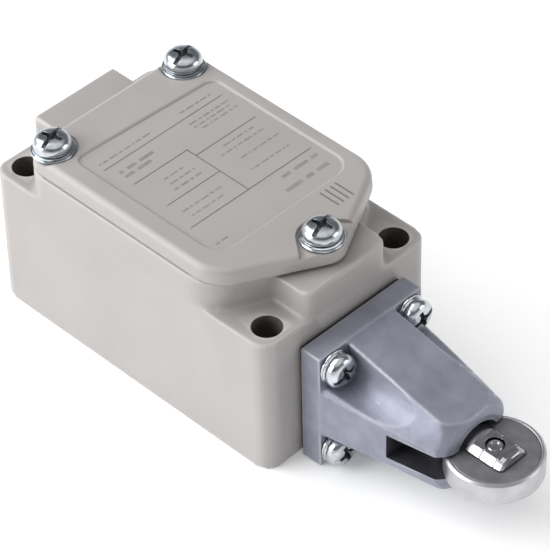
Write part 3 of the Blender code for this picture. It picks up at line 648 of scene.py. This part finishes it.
@dataclass
class PanScrew:
    """Pan head screw with a cross recess and a slot, on a split washer and a plain washer."""

    node: str
    washer: str
    axis: Axis
    body: str = "housing"
    turn: float = 0.3
    slot_width: float = 0.00085
    shank: float = 0.0017
    washer_bore: float = 0.0019

    def build(self) -> None:
        """Make the screw, its split washer and its plain washer."""
        room = Room.of(self.node)
        seat = Room.of(self.washer)
        along = 0 if self.axis is Axis.X else 2
        side = 1 if self.axis is Axis.X else 0
        radius = room.size[side] / 2
        at = room.centre.copy()
        at[along] = seat.low[along]
        height = room.high[along] - seat.high[along]
        base = seat.size[along] + height * 0.02
        head = self.make_head(at, radius, base, height)
        dress(head, ZINC, self.body, [self.node], crisp=35.0)
        self.make_washers(at, radius, seat.size[along], seat.size[side] / 2)

    def make_head(
        self, at: Vector, radius: float, base: float, height: float
    ) -> bpy.types.Object:
        """Make the head with its recess, and a short shank below it.

        Args:
            at: Middle of the seat.
            radius: Radius of the head.
            base: Height of the head's underside above the seat.
            height: Height of the head.

        Returns:
            The screw.
        """
        top = base + height * 0.98
        dome = [(0.0, top)]
        for share in (0.3, 0.5, 0.64, 0.76, 0.86, 0.93, 0.98, 1.0):
            dome.append((radius * share, top - height * (0.16 * share**2 + 0.34 * share**9)))
        foot = [(radius, base + height * 0.16), (radius - 0.0001, base + height * 0.05)]
        foot += [(radius - 0.0003, base), (self.shank, base)]
        foot += [(self.shank, base - 0.004), (0.0, base - 0.004)]
        head = turned(self.node + "_shown", dome + foot, at, self.axis)
        tools = []
        for quarter in range(2):
            tools.append(self.blade(at, radius * 0.58, height * 0.62, top, quarter))
        tools.append(self.blade(at, radius * 1.3, height * 0.26, top, 1))
        point = [(0.0, top + 0.0001), (0.0010, top + 0.0001)]
        point += [(0.0006, top - height * 0.55), (0.0, top - height * 0.6)]
        tools.append(turned("point", point, at, self.axis, 24))
        # the recess faces get the zinc with painted shade
        return combine(head, tools, "DIFFERENCE", (ZINC, ZINC_RECESS_SHADE))

    def blade(
        self, at: Vector, length: float, depth: float, top: float, quarter: int
    ) -> bpy.types.Object:
        """Make the tool that cuts one arm of the recess.

        Args:
            at: Middle of the seat.
            length: Half the length of the arm.
            depth: Depth below the head's top.
            top: Height of the head's top.
            quarter: 0 or 1, for the two directions across the head.

        Returns:
            The tool.
        """
        half = self.slot_width / 2
        low, high = (-length, -half, top - depth), (length, half, top + CROWN)
        tool = box(f"recess_{quarter}", low, high)
        spin = Matrix.Rotation(self.turn + math.pi / 2 * quarter, 4, "Z")
        lay = Matrix.Rotation(self.axis.value[1], 4, "Y")
        tool.data.transform(Matrix.Translation(at) @ lay @ spin)
        return tool

    def make_washers(self, at: Vector, radius: float, thickness: float, reach: float) -> None:
        """Make the plain washer and the split washer on it.

        Args:
            at: Middle of the seat.
            radius: Radius of the screw's head.
            thickness: Height of the two together.
            reach: Radius of the plain washer.
        """
        bore, flat, edge = self.washer_bore, thickness * 0.45, 0.00008
        rim = [(bore, 0.0), (reach - edge, 0.0), (reach, edge)]
        rim += [(reach, flat - edge), (reach - edge, flat), (bore, flat)]
        plain = turned(self.washer + "_plain", rim, at, self.axis)
        dress(plain, ZINC, self.body, [self.washer])
        outer = min(radius + 0.0001, reach - 0.0002)
        rim = [(bore, flat), (outer, flat), (outer + edge, flat + edge)]
        rim += [(outer, thickness), (bore, thickness)]
        split = turned(self.washer + "_split", rim, at, self.axis)
        split_at = box("gap", (0.0, -0.00022, flat), (outer * 2, 0.00022, thickness + 0.0002))
        lay = Matrix.Translation(at) @ Matrix.Rotation(self.axis.value[1], 4, "Y")
        split_at.data.transform(lay @ Matrix.Rotation(self.turn * 5, 4, "Z"))
        combine(split, [split_at], "DIFFERENCE")
        dress(split, ZINC, self.body)


# ---------------------------------------------------------------- housing


@dataclass
class Housing:
    """Painted box: ears with mounting holes, conduit boss, head-end shoulder, wiring space."""

    corner: float = 0.0030
    ear_drop: float = 0.0057
    wall: float = 0.0031
    boss_half: float = 0.00955
    shoulder_half: float = 0.0096
    overhang: float = 0.0013
    hole_radius: float = 0.0027
    hole_x: float = 0.02935
    hole_y: float = 0.0151
    grain: float = 0.00040
    merge: float = 0.004
    floor: float = 0.0032
    room: Room = field(default_factory=lambda: Room.of("housing"))
    lid: Room = field(default_factory=lambda: Room.of("cover"))

    def build(self) -> None:
        """Make the box and the thread of its conduit entry."""
        shell = self.make_shell()
        self.carve(shell)
        dress(shell, PAINT, "housing", ["housing"], crisp=38.0)
        self.make_thread()

    def make_shell(self) -> bpy.types.Object:
        """Make the outside with softened edges, before the holes are cut."""
        low, high = self.room.low, self.room.high
        side = high.y
        ear = high.z - self.ear_drop
        base = mirrored([(low.x, -side, self.corner), (high.x, -side, self.corner)])
        shell = slab("housing_shown", base, low.z, ear)
        root, crest = ear - self.merge, high.z - 0.0002
        upper = slab("upper", inset_front(Cover.outline(self.lid), self.overhang), root, high.z)
        boss_end = self.lid.low.x + self.merge
        boss = box("boss", (low.x, -self.boss_half, root), (boss_end, self.boss_half, crest))
        half = self.shoulder_half
        step = [(high.x - 0.012, -half, 0.0002), (high.x, -half, 0.0020)]
        shoulder = slab("shoulder", mirrored(step), root, crest)
        combine(shell, [upper, boss, shoulder], "UNION")
        return cast(shell, self.grain, passes=5)

    def carve(self, shell: bpy.types.Object) -> None:
        """Cut the wiring space, bores and holes.

        Args:
            shell: The outside, which is changed.
        """
        low, high = self.room.low, self.room.high
        rear = self.lid.low.x + self.wall
        front = self.hole_x - self.hole_radius - self.wall - 0.0025
        half = high.y - self.wall
        post_x, post_y = rear + 0.0062, half - 0.0068
        outline = [(rear, -post_y, 0.0012), (post_x, -post_y, 0.0029)]
        outline += [(post_x, -half, 0.0012), (front, -half, 0.0032)]
        cavity = slab("cavity", mirrored(outline), low.z + self.floor, high.z + CROWN)
        holes = []
        for sx in (-1, 1):
            for sy in (-1, 1):
                at = (sx * self.hole_x, sy * self.hole_y, 0.0)
                holes.append(turned(f"mounting_{sx}_{sy}", self.hole_profile(high.z), at))
        bore = [(0.0, low.x - CROWN), (0.0112, low.x - CROWN), (0.0112, low.x)]
        bore += [(0.0104, low.x + 0.0009), (0.0104, rear + CROWN), (0.0, rear + CROWN)]
        conduit = turned("conduit", bore, (0.0, 0.0, CONDUIT_HEIGHT), Axis.X, 72)
        step = front + 0.0035
        bore = [(0.0, high.x + CROWN), (0.0070, high.x + CROWN), (0.0070, step)]
        bore += [(0.0052, step), (0.0052, front - CROWN), (0.0, front - CROWN)]
        passage = turned("passage", bore, (0.0, 0.0, Room.of("roller").centre.z), Axis.X)
        # the mounting holes' walls get the unpainted finish with painted shade
        combine(shell, holes, "DIFFERENCE", (PAINT, BORE_PAINTED_SHADE))
        combine(shell, [cavity, conduit, passage], "DIFFERENCE", (PAINT, PAINT))

    def hole_profile(self, top: float) -> Profile:
        """Profile of a mounting hole, from above the ear to below the mounting face."""
        end, radius = top - self.ear_drop + 0.002, self.hole_radius
        return [(0.0, end), (radius, end), (radius, -CROWN), (0.0, -CROWN)]

    def make_thread(self) -> None:
        """Make the parallel pipe thread inside the conduit entry."""
        pitch, radius, depth = 0.001814, 0.01048, 0.0009
        steps, turns = 72, 4.2
        root, crest = radius + 0.0003, radius - depth
        rings = []
        for step in range(int(steps * turns) + 1):
            angle = 2 * math.pi * step / steps
            x = self.room.low.x + 0.0012 + pitch * step / steps
            ring = []
            for along, reach in ((-0.38, root), (-0.12, crest), (0.12, crest), (0.38, root)):
                y, z = reach * math.cos(angle), CONDUIT_HEIGHT + reach * math.sin(angle)
                ring.append((x + pitch * along, y, z))
            rings.append(ring)
        dress(loft("conduit_thread", rings), PAINT, "housing")


def inset_front(corners: Sequence[Corner], by: float) -> list[Corner]:
    """Move the head-end corners of the cover's outline back, for the wall under it."""
    return [(x - by if x > 0 else x, y, radius) for x, y, radius in corners]


# ---------------------------------------------------------------- cover


@dataclass
class Cover:
    """Painted cover with a rounded top edge, a label panel, rules and marks, and screw seats."""

    edge: float = 0.0013
    draft: float = 0.00012
    panel_depth: float = 0.00034
    pocket: float = 0.0044
    seat_depth: float = 0.0007
    panel: tuple[Corner, ...] = (
        (-0.0165, -0.0150, 0.0018),
        (0.0183, -0.0150, 0.0035),
        (0.0183, 0.0163, 0.0035),
        (-0.0150, 0.0163, 0.0018),
    )
    room: Room = field(default_factory=lambda: Room.of("cover"))

    @staticmethod
    def outline(room: Room) -> list[Corner]:
        """Outline of the cover, square at the conduit end and pointed at the head end."""
        near = [
            (room.low.x, room.low.y, 0.0045),
            (room.high.x - 0.0100, room.low.y, 0.0075),
            (room.high.x + TIP_CORNER * 0.125, 0.0, TIP_CORNER),
        ]
        return mirrored(near)

    def build(self) -> None:
        """Make the plate with its rules and marks."""
        plate = self.make_plate()
        self.carve(plate)
        dress(plate, PLATE, "housing", ["cover"], crisp=32.0)
        self.make_marks()

    def make_plate(self) -> bpy.types.Object:
        """Make the plate with its rounded top edge."""
        corners = self.outline(self.room)
        low, high = self.room.low.z, self.room.high.z
        levels = [(0.0001, low)]
        for share in (0.02, 0.5, 1.0):
            levels.append((self.draft * share, low + (high - self.edge - low) * share))
        for step in range(1, 9):
            angle = math.pi / 2 * step / 8
            by = self.draft + self.edge * (1 - math.cos(angle))
            levels.append((by, high - self.edge * (1 - math.sin(angle))))
        levels.append((by + self.edge * 0.3, high))
        rings = []
        for by, z in levels:
            rings.append([(*point, z) for point in rounded(inset(corners, by), 12)])
        return loft("cover_shown", rings)

    def carve(self, plate: bpy.types.Object) -> None:
        """Sink the label panel, the screw seats and the holes.

        Args:
            plate: The cover, which is changed.
        """
        top, bottom = self.room.high.z, self.room.low.z - CROWN
        seat, above, pocket = top - self.seat_depth, top + CROWN, self.pocket
        rings = []
        widest = self.panel_depth * 1.1
        slope = top - self.panel_depth * (1 - 0.35)
        for share, z in ((0.0, top - self.panel_depth), (0.35, slope), (1.0, top), (1.0, above)):
            grown = inset(self.panel, -widest * share**2)
            rings.append([(*point, z) for point in rounded(grown)])
        tools = [loft("panel", rings)]
        for place in COVER_SCREWS:
            at = Room.of(f"cover_screw_{place}").centre
            profile = [(0.0, above), (pocket + 0.0002, above), (pocket, top)]
            profile += [(pocket, seat + 0.0002), (pocket - 0.0002, seat), (0.0020, seat)]
            profile += [(0.0020, bottom), (0.0, bottom)]
            tools.append(turned(f"seat_{place}", profile, (at.x, at.y, 0.0)))
        lean, reach, bend = math.radians(38), 0.010, 0.0001
        x = Room.of("cover_screw_head_end").centre.x - pocket * math.sin(lean)
        y = pocket * math.cos(lean)
        far_x, far_y = x + reach * math.cos(lean), y + reach * math.sin(lean)
        wedge = [(x, -y, bend), (far_x, -far_y, bend), (far_x + 0.004, -0.001, bend)]
        tools.append(slab("tip", mirrored(wedge), seat, above))
        combine(plate, tools, "DIFFERENCE")

    def make_marks(self) -> None:
        """Make the table's rules, rows of dashes in place of print, and bars by the tip."""
        floor = self.room.high.z - self.panel_depth
        rules = [
            (-0.0110, -0.0134, 0.0144),
            (-0.00475, -0.0122, 0.0003),
            (-0.0026, 0.0001, 0.0144),
            (0.0032, -0.0122, 0.0001),
            (0.0101, -0.0134, 0.0150),
        ]
        lines = [((x, low), (x, high), 0.00011) for x, low, high in rules]
        lines.append(((-0.00475, 0.0001), (0.0101, 0.0001), 0.00011))
        # the rules take a darker finish that paints the shade of engraved grooves
        self.strokes("table_rules", lines, floor, RULE_PAINTED_SHADE)
        dashes = []
        for index, (x, low, high, half) in enumerate(PRINT_ROWS):
            dashes += self.row(x, low, high, half, index)
        self.strokes("print_rows", dashes, floor, PRINT)
        bars = [((0.0197, y), (0.0241, y), 0.00017) for y in (0.0074, 0.0086, 0.0098, 0.0110)]
        # the bars take the same darker finish, a painted shade
        self.strokes("plain_bars", bars, self.room.high.z, RULE_PAINTED_SHADE)

    def row(self, x: float, low: float, high: float, half: float, seed: int) -> list[Stroke]:
        """Dashes of uneven length along one row.

        Args:
            x: Place of the row.
            low: Where it starts.
            high: Where it ends.
            half: Half the dashes' width.
            seed: Changes the lengths from row to row.

        Returns:
            Start, end and half width of each dash.
        """
        dashes = []
        y, step = low, seed
        while y < high - half * 2:
            length = half * (2.5 + 1.7 * ((step * 7) % 5))
            dashes.append(((x, y), (x, min(y + length, high)), half))
            y += length + half * 2.6
            step += 1
        return dashes

    def strokes(self, name: str, lines: Sequence[Stroke], z: float, ink_and_shade: Finish) -> None:
        """Make thin lines as one piece, low beads on the surface.

        Args:
            name: Name of the piece.
            lines: Start, end and half width of each line.
            z: Height of the surface.
            ink_and_shade: Their finish, printing ink for the print and painted shade for the
                engraved rules and bars.
        """
        bm = bmesh.new()
        for start, end, half in lines:
            a, b = Vector(start), Vector(end)
            along = (b - a).normalized() * half
            across = Vector((-along.y, along.x))
            ring = [a - across, b - across, b + across, a + across]
            low = [bm.verts.new((*point, z - 0.0001)) for point in ring]
            high = [bm.verts.new((*point, z + 0.00002)) for point in ring]
            bm.faces.new(high)
            bm.faces.new(low[::-1])
            for index in range(4):
                after = (index + 1) % 4
                bm.faces.new((low[index], low[after], high[after], high[index]))
        dress(new_object(name, bm), ink_and_shade, "housing")


# Place, start, end and half width of each row of dashes on the label panel.
PRINT_ROWS = (
    (-0.0126, -0.0130, -0.0010, 0.00018),
    (-0.0126, 0.0060, 0.0140, 0.00018),
    (-0.0092, 0.0050, 0.0142, 0.00018),
    (-0.0081, 0.0050, 0.0142, 0.00018),
    (-0.0070, 0.0060, 0.0142, 0.00018),
    (-0.0086, -0.0120, -0.0040, 0.00034),
    (-0.0072, -0.0120, -0.0060, 0.00034),
    (-0.0010, 0.0050, 0.0130, 0.00018),
    (0.0006, 0.0030, 0.0130, 0.00018),
    (0.0034, 0.0050, 0.0145, 0.00018),
    (0.0068, 0.0040, 0.0130, 0.00018),
    (-0.0020, -0.0080, -0.0030, 0.00018),
    (-0.0004, -0.0080, -0.0020, 0.00018),
    (0.0012, -0.0085, -0.0020, 0.00022),
    (0.0062, -0.0115, -0.0025, 0.00018),
    (0.0080, -0.0110, -0.0030, 0.00018),
    (0.0120, 0.0062, 0.0147, 0.00034),
    (0.0150, 0.0042, 0.0142, 0.00040),
    (0.0160, -0.0134, -0.0106, 0.00020),
)


# ---------------------------------------------------------------- head


@dataclass
class Head:
    """Bare casting: square flange, webs with scooped corners, round nose with the roller slot."""

    flange: float = 0.0043
    web_half: float = 0.0057
    nose_radius: float = 0.0064
    clear: float = 0.019
    scoop_length: float = 0.0188
    slot_half: float = 0.00255
    grain: float = 0.00026
    room: Room = field(default_factory=lambda: Room.of("head"))

    def build(self) -> None:
        """Make the casting and cut its bore, slot and screw holes."""
        casting = self.make_casting()
        self.carve(casting)
        dress(casting, CASTING, "housing", ["head"], crisp=38.0)

    def section(self, share: float, start: float) -> list[Point]:
        """Eight-cornered cross-section of the webs at a share of their length."""
        half = self.room.size.z / 2
        centre = self.room.centre.z
        x = start + (self.room.high.x - start) * share
        width = 0.0080 + (half - 0.0081) * (1 - share**1.2)
        height = half - 0.0001 + (0.0072 - half) * share
        slant = [(width, 0.0048 - 0.0016 * share), (self.web_half, height)]
        right = slant + [(-y, z) for y, z in reversed(slant)]
        return [(x, y, centre + z) for y, z in right + [(y, -z) for y, z in reversed(right)]]

    def make_casting(self) -> bpy.types.Object:
        """Make the outside, its edges softened."""
        low, high, centre = self.room.low, self.room.high, self.room.centre
        front = low.x + self.flange
        start = front - 0.0008
        shares = (0.0, 0.15, 0.3, 0.45, 0.6, 0.75, 0.9, 1.0)
        webs = loft("webs", [self.section(share, start) for share in shares])
        nose, radius, wide = high.x, self.nose_radius, self.clear
        profile = [(0.0, nose), (radius, nose), (radius + 0.0012, nose - 0.0006)]
        profile += [(radius + 0.0026, nose - 0.0020), (radius + 0.0052, nose - 0.0070)]
        profile += [(wide, nose - 0.016), (wide, start - CROWN), (0.0, start - CROWN)]
        envelope = turned("envelope", profile, (0.0, 0.0, centre.z), Axis.X, 64)
        combine(webs, [envelope], "INTERSECT")
        scoops = [self.scoop(front, sy, sz) for sy in (-1, 1) for sz in (-1, 1)]
        combine(webs, scoops, "DIFFERENCE")
        block = box("head_shown", low, (front, high.y, high.z))
        combine(block, [webs], "UNION")
        return cast(block, self.grain, 3)

    def scoop(self, front: float, sy: int, sz: int) -> bpy.types.Object:
        """Tool for the hollow round one head screw, square at the flange, round to the nose."""
        centre, wide, web = self.room.centre.z, self.clear, self.web_half
        rings = []
        for share in (0.0, 0.08, 0.16, 0.36, 0.58, 0.8, 1.0):
            floor = 0.0056 - 0.0023 * share
            bend = 0.0008 + 0.0074 * share**0.8
            ring = [(wide, floor), (wide, wide), (web, wide)]
            for step in range(9):
                angle = math.pi + math.pi / 2 * step / 8
                y, z = bend * (1 + math.cos(angle)), bend * (1 + math.sin(angle))
                ring.append((web + y, floor + z))
            x = front + self.scoop_length * share
            rings.append([(x, sy * y, centre + sz * z) for y, z in ring])
        return loft(f"scoop_{sy}_{sz}", rings)

    def carve(self, casting: bpy.types.Object) -> None:
        """Cut the bore, the roller slot and the screw holes.

        Args:
            casting: The outside, which is changed.
        """
        nose, centre, rear = self.room.high.x, self.room.centre, self.room.low.x - CROWN
        roller = Room.of("roller")
        bore = Room.of("plunger").size.y / 2 + 0.0004
        mouth = bore + 0.0007
        profile = [(0.0, nose + CROWN), (mouth, nose + CROWN), (mouth, nose - 0.0002)]
        profile += [(bore, nose - 0.0009), (bore, nose - 0.013), (0.0058, nose - 0.013)]
        profile += [(0.0058, nose - 0.018), (0.0070, nose - 0.020), (0.0070, rear), (0.0, rear)]
        tools = [turned("bore", profile, (0.0, 0.0, centre.z), Axis.X)]
        half = self.slot_half
        low = (nose - 0.0110, -0.015, centre.z - half)
        tools.append(box("slot", low, (nose + 0.002, 0.015, centre.z + half)))
        radius = roller.size.x / 2 + 0.0002
        disc = [(0.0, half), (radius, half), (radius, -half), (0.0, -half)]
        tools.append(turned("pressed", disc, (roller.centre.x - TRAVEL, 0.0, centre.z)))
        for name in HEAD_SCREWS:
            at, end = Room.of(f"head_screw_{name}").centre, self.room.low.x + 0.006
            hole = [(0.0, end), (0.0020, end), (0.0020, rear), (0.0, rear)]
            tools.append(turned(f"hole_{name}", hole, (0.0, at.y, at.z), Axis.X, 24))
        # the cut faces get the casting with painted shade
        combine(casting, tools, "DIFFERENCE", (CASTING, CAST_CUT_SHADE))


# ---------------------------------------------------------------- plunger and roller


@dataclass
class PlungerAndRoller:
    """Polished forked plunger, riveted pin and two-tone roller."""

    flat: float = 0.0035
    room: Room = field(default_factory=lambda: Room.of("plunger"))
    wheel: Room = field(default_factory=lambda: Room.of("roller"))

    def build(self) -> None:
        """Make the plunger, the pin and the roller."""
        dress(self.make_plunger(), STEEL, "plunger", ["plunger"], crisp=30.0)
        self.make_pin()
        self.make_roller()

    def make_plunger(self) -> bpy.types.Object:
        """Make the shaft with its grooves, fork and flats."""
        radius = self.room.size.y / 2
        front = self.room.high.x
        centre = self.wheel.centre
        groove = 0.00012
        profile = [(0.0, front), (radius - 0.0005, front), (radius - 0.0001, front - 0.0004)]
        for place in (0.0016, 0.0046):
            profile += [(radius, front - place), (radius - groove, front - place - 0.0001)]
            profile += [(radius - groove, front - place - 0.0002), (radius, front - place - 0.0003)]
        rear, spindle = self.room.low.x, 0.0030
        step = rear + 0.0123
        profile += [(radius, step), (spindle, step), (spindle, rear), (0.0, rear)]
        shaft = turned("plunger_shown", profile, (0.0, 0.0, centre.z), Axis.X, 64)
        half, wide = self.wheel.size.z / 2 + 0.00015, 0.006
        low = (self.wheel.low.x - 0.0002, -wide, centre.z - half)
        tools = [box("fork", low, (front + CROWN, wide, centre.z + half))]
        cuts = (
            ("flat", centre.x - 0.0028, front - 0.0012, self.flat),
            ("lip", front - 0.0013, front + CROWN, self.flat + 0.00035),
        )
        for sign in (-1, 1):
            for name, start, end, reach in cuts:
                below, above = sorted((centre.z + sign * reach, centre.z + sign * wide))
                tools.append(box(f"{name}_{sign}", (start, -wide, below), (end, wide, above)))
        hole = [(0.0, wide), (0.0017, wide), (0.0017, -wide), (0.0, -wide)]
        tools.append(turned("pin_hole", hole, centre, Axis.Z, 32))
        return combine(shaft, tools, "DIFFERENCE")

    def make_pin(self) -> None:
        """Make the pin with a dished, riveted end."""
        end = self.flat - 0.00015
        profile = [(0.0, end - 0.0003), (0.0007, end - 0.0003), (0.0009, end - 0.00002)]
        profile += [(0.0012, end), (0.00142, end - 0.0002)]
        profile += [(radius, -height) for radius, height in reversed(profile)]
        pin = turned("roller_pin_shown", profile, self.wheel.centre, Axis.Z, 32)
        dress(pin, STEEL, "plunger", ["roller_pin"])

    def make_roller(self) -> None:
        """Make the steel rim and the darker turned faces inside it."""
        radius, half = self.wheel.size.x / 2, self.wheel.size.z / 2
        inner = radius - 0.0009
        profile = [(inner, half - 0.00008), (inner + 0.0001, half), (radius - 0.00045, half)]
        profile += [(radius - 0.0001, half - 0.0003), (radius, half - 0.0006)]
        profile += [(r, -z) for r, z in reversed(profile)]
        rim = turned("roller_rim", profile, self.wheel.centre, Axis.Z, 128)
        dress(rim, RIM, "roller", ["roller"], crisp=25.0)
        profile = [(0.0016, half - 0.0001), (inner - 0.00012, half - 0.0001)]
        profile += [(inner, half - 0.0002)]
        profile += [(r, -z) for r, z in reversed(profile)]
        disc = turned("roller_face", profile, self.wheel.centre, Axis.Z, 96)
        dress(disc, FACE, "roller")


@dataclass
class CoilSpring:
    """Compression spring along X with closed ends, which shortens towards its low end.

    `shortening` is how far its ends come together at full travel. `gap` is the distance from its
    low end to the face that the end stands on, and `least_share` the least of its length kept.
    None of these three is used.
    """

    node: str
    body: str
    turns: float
    wire: float
    shortening: float
    gap: float = 0.0
    closed: float = 0.9
    per_turn: int = 28
    least_share: float = 0.04

    def build(self) -> None:
        """Make the spring."""
        room = Room.of(self.node)
        axis_z = Room.of("plunger").centre.z
        radius = (room.size.y - self.wire) / 2
        rings = []
        for step in range(int(self.turns * self.per_turn) + 1):
            turn = step / self.per_turn
            angle = 2 * math.pi * turn
            outward = Vector((0.0, math.cos(angle), math.sin(angle)))
            x = room.low.x + self.wire / 2 + self.advance(turn, room.size.x - self.wire)
            centre = Vector((x, 0.0, axis_z)) + outward * radius
            rings.append(self.section(centre, outward))
        spring = loft(self.node + "_shown", rings)
        dress(spring, SPRING, self.body, [self.node], crisp=60.0)
        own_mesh(spring)

    def advance(self, turn: float, length: float) -> float:
        """Place along the spring after a number of turns.

        Args:
            turn: Turns from the low end.
            length: Free length between the middles of the first and last wire.

        Returns:
            Distance from the low end.
        """
        solid = self.closed * self.wire
        if turn < self.closed:
            return turn * self.wire
        if turn > self.turns - self.closed:
            return length - (self.turns - turn) * self.wire
        return solid + (length - 2 * solid) * (turn - self.closed) / (self.turns - 2 * self.closed)

    def section(self, centre: Vector, outward: Vector, sides: int = 10) -> list[Vector]:
        """Ring of points round the wire, a little thin so that closed turns don't merge."""
        reach = self.wire * 0.48
        ring = []
        for side in range(sides):
            angle = 2 * math.pi * side / sides
            along = Vector((math.sin(angle), 0.0, 0.0))
            ring.append(centre + reach * (outward * math.cos(angle) + along))
        return ring


# ---------------------------------------------------------------- inner pieces


@dataclass
class InnerWorks:
    """Finishes of the CAD pieces that stay as they are."""

    finishes: dict[str, Finish] = field(
        default_factory=lambda: {
            Slot.PAINT.value: PAINT,
            Slot.CASTING.value: CASTING,
            Slot.ZINC.value: ZINC,
            Slot.STEEL.value: STEEL,
            Slot.SPRING.value: SPRING,
            Slot.BRASS.value: BRASS,
            Slot.BRONZE.value: BRONZE,
            Slot.RUBBER.value: RUBBER,
            Slot.BLACK.value: BLACK,
            Slot.RED.value: RED,
        }
    )

    def build(self) -> None:
        """Give every CAD node that is still shown the finish of its slot."""
        slots = {row["node"]: row["material_slot"] for row in frame["record"]["subparts"]}
        for name, obj in frame["nodes"].items():
            obj.data.materials.clear()
            obj.data.materials.append(self.finishes[slots[name]].make())
            LOG.info("%s: %s", name, slots[name])


# ---------------------------------------------------------------- studio


@dataclass
class Studio:
    """Pale floor, soft lights and the camera."""

    azimuth: float = 45.848
    elevation: float = 42.359
    roll: float = -1.513
    lens: float = 222.3
    place: Corner = (0.321862, -0.296938, 0.410296)
    aim: Corner = (0.015, 0.0, 0.02)

    def build(self) -> None:
        """Make the floor, the lights and the camera."""
        self.make_floor()
        self.make_lights()
        self.make_camera()

    def make_floor(self) -> None:
        """Make a wide pale floor just under the object."""
        half = 3.0
        corners = ((-half, -half), (half, -half), (half, half), (-half, half))
        floor = loft("floor", [[(x, y, z) for x, y in corners] for z in (-0.02, -0.0001)])
        material = bpy.data.materials.new("pale_paper_floor")
        material.use_nodes = True
        shader = material.node_tree.nodes["Principled BSDF"]
        shader.inputs["Base Color"].default_value = linear("#FCFCFC")
        shader.inputs["Roughness"].default_value = 0.9
        shader.inputs["Emission Color"].default_value = linear("#FFFFFF")
        shader.inputs["Emission Strength"].default_value = 0.15
        floor.data.materials.append(material)

    def make_lights(self) -> None:
        """Make the sky of the studio and three soft boxes."""
        world = bpy.data.worlds.new("studio")
        world.use_nodes = True
        bpy.context.scene.world = world
        tree = world.node_tree
        place = add_node(tree, "ShaderNodeTexCoord")
        height = add_node(
            tree, "ShaderNodeSeparateXYZ", links={"Vector": place.outputs["Generated"]}
        )
        sky = ramp(
            add_node(tree, "ShaderNodeValToRGB", links={"Fac": height.outputs["Z"]}),
            [
                (0.0, linear("#FFFFFF")),
                (0.24, linear("#F0F0F0")),
                (0.42, linear("#747678")),
                (0.72, linear("#747678")),
                (0.90, linear("#FFFFFF")),
            ],
        )
        tree.links.new(sky.outputs["Color"], tree.nodes["Background"].inputs["Color"])
        tree.nodes["Background"].inputs["Strength"].default_value = 1.0
        boxes = (
            ("key", (-0.50, -0.75, 0.50), 0.7, 8.7),
            ("top", (-0.62, -0.18, 0.75), 0.7, 4.8),
            ("rim", (0.70, 0.55, 0.45), 0.5, 1.5),
        )
        for name, place, size, power in boxes:
            light = bpy.data.lights.new(name, "AREA")
            light.size = size
            light.energy = power
            lamp = bpy.data.objects.new(name, light)
            lamp.location = place
            towards = Vector(self.aim) - Vector(place)
            lamp.rotation_euler = towards.to_track_quat("-Z", "Y").to_euler()
            bpy.context.scene.collection.objects.link(lamp)

    def make_camera(self) -> None:
        """Make the camera at its viewing angle."""
        a, e = math.radians(self.azimuth), math.radians(self.elevation)
        back = Vector((math.sin(a) * math.cos(e), -math.cos(a) * math.cos(e), math.sin(e)))
        camera = bpy.data.cameras.new("camera")
        camera.lens = self.lens
        camera.clip_start = 0.05
        camera.clip_end = 20.0
        eye = bpy.data.objects.new("camera", camera)
        eye.location = Vector(self.place)
        tilt = Matrix.Rotation(math.radians(self.roll), 3, "Z").to_quaternion()
        eye.rotation_mode = "QUATERNION"
        eye.rotation_quaternion = (-back).to_track_quat("-Z", "Y") @ tilt
        bpy.context.scene.collection.objects.link(eye)
        bpy.context.scene.camera = eye
        bpy.context.scene.view_settings.view_transform = "Standard"


def main() -> None:
    """Build the sub-assemblies in order."""
    logging.basicConfig(level=logging.INFO, format="%(name)s: %(message)s")
    Studio().build()
    InnerWorks().build()
    Housing().build()
    Cover().build()
    Head().build()
    PlungerAndRoller().build()
    CoilSpring("return_spring", "housing", 6.5, 0.0009, TRAVEL).build()
    CoilSpring("overtravel_spring", "inner_rod", 8.0, 0.0005, TRAVEL * ROD_SHARE).build()
    closing = TRAVEL * (ROD_SHARE + CONTACT_SHARE)
    CoilSpring("contact_spring", "contacts", 6.0, 0.0004, closing, gap=0.0002).build()
    for place in COVER_SCREWS:
        PanScrew(f"cover_screw_{place}", f"cover_washer_{place}", Axis.Z).build()
    for place in HEAD_SCREWS:
        PanScrew(f"head_screw_{place}", f"head_washer_{place}", Axis.X).build()


if __name__ == "__main__":
    main()
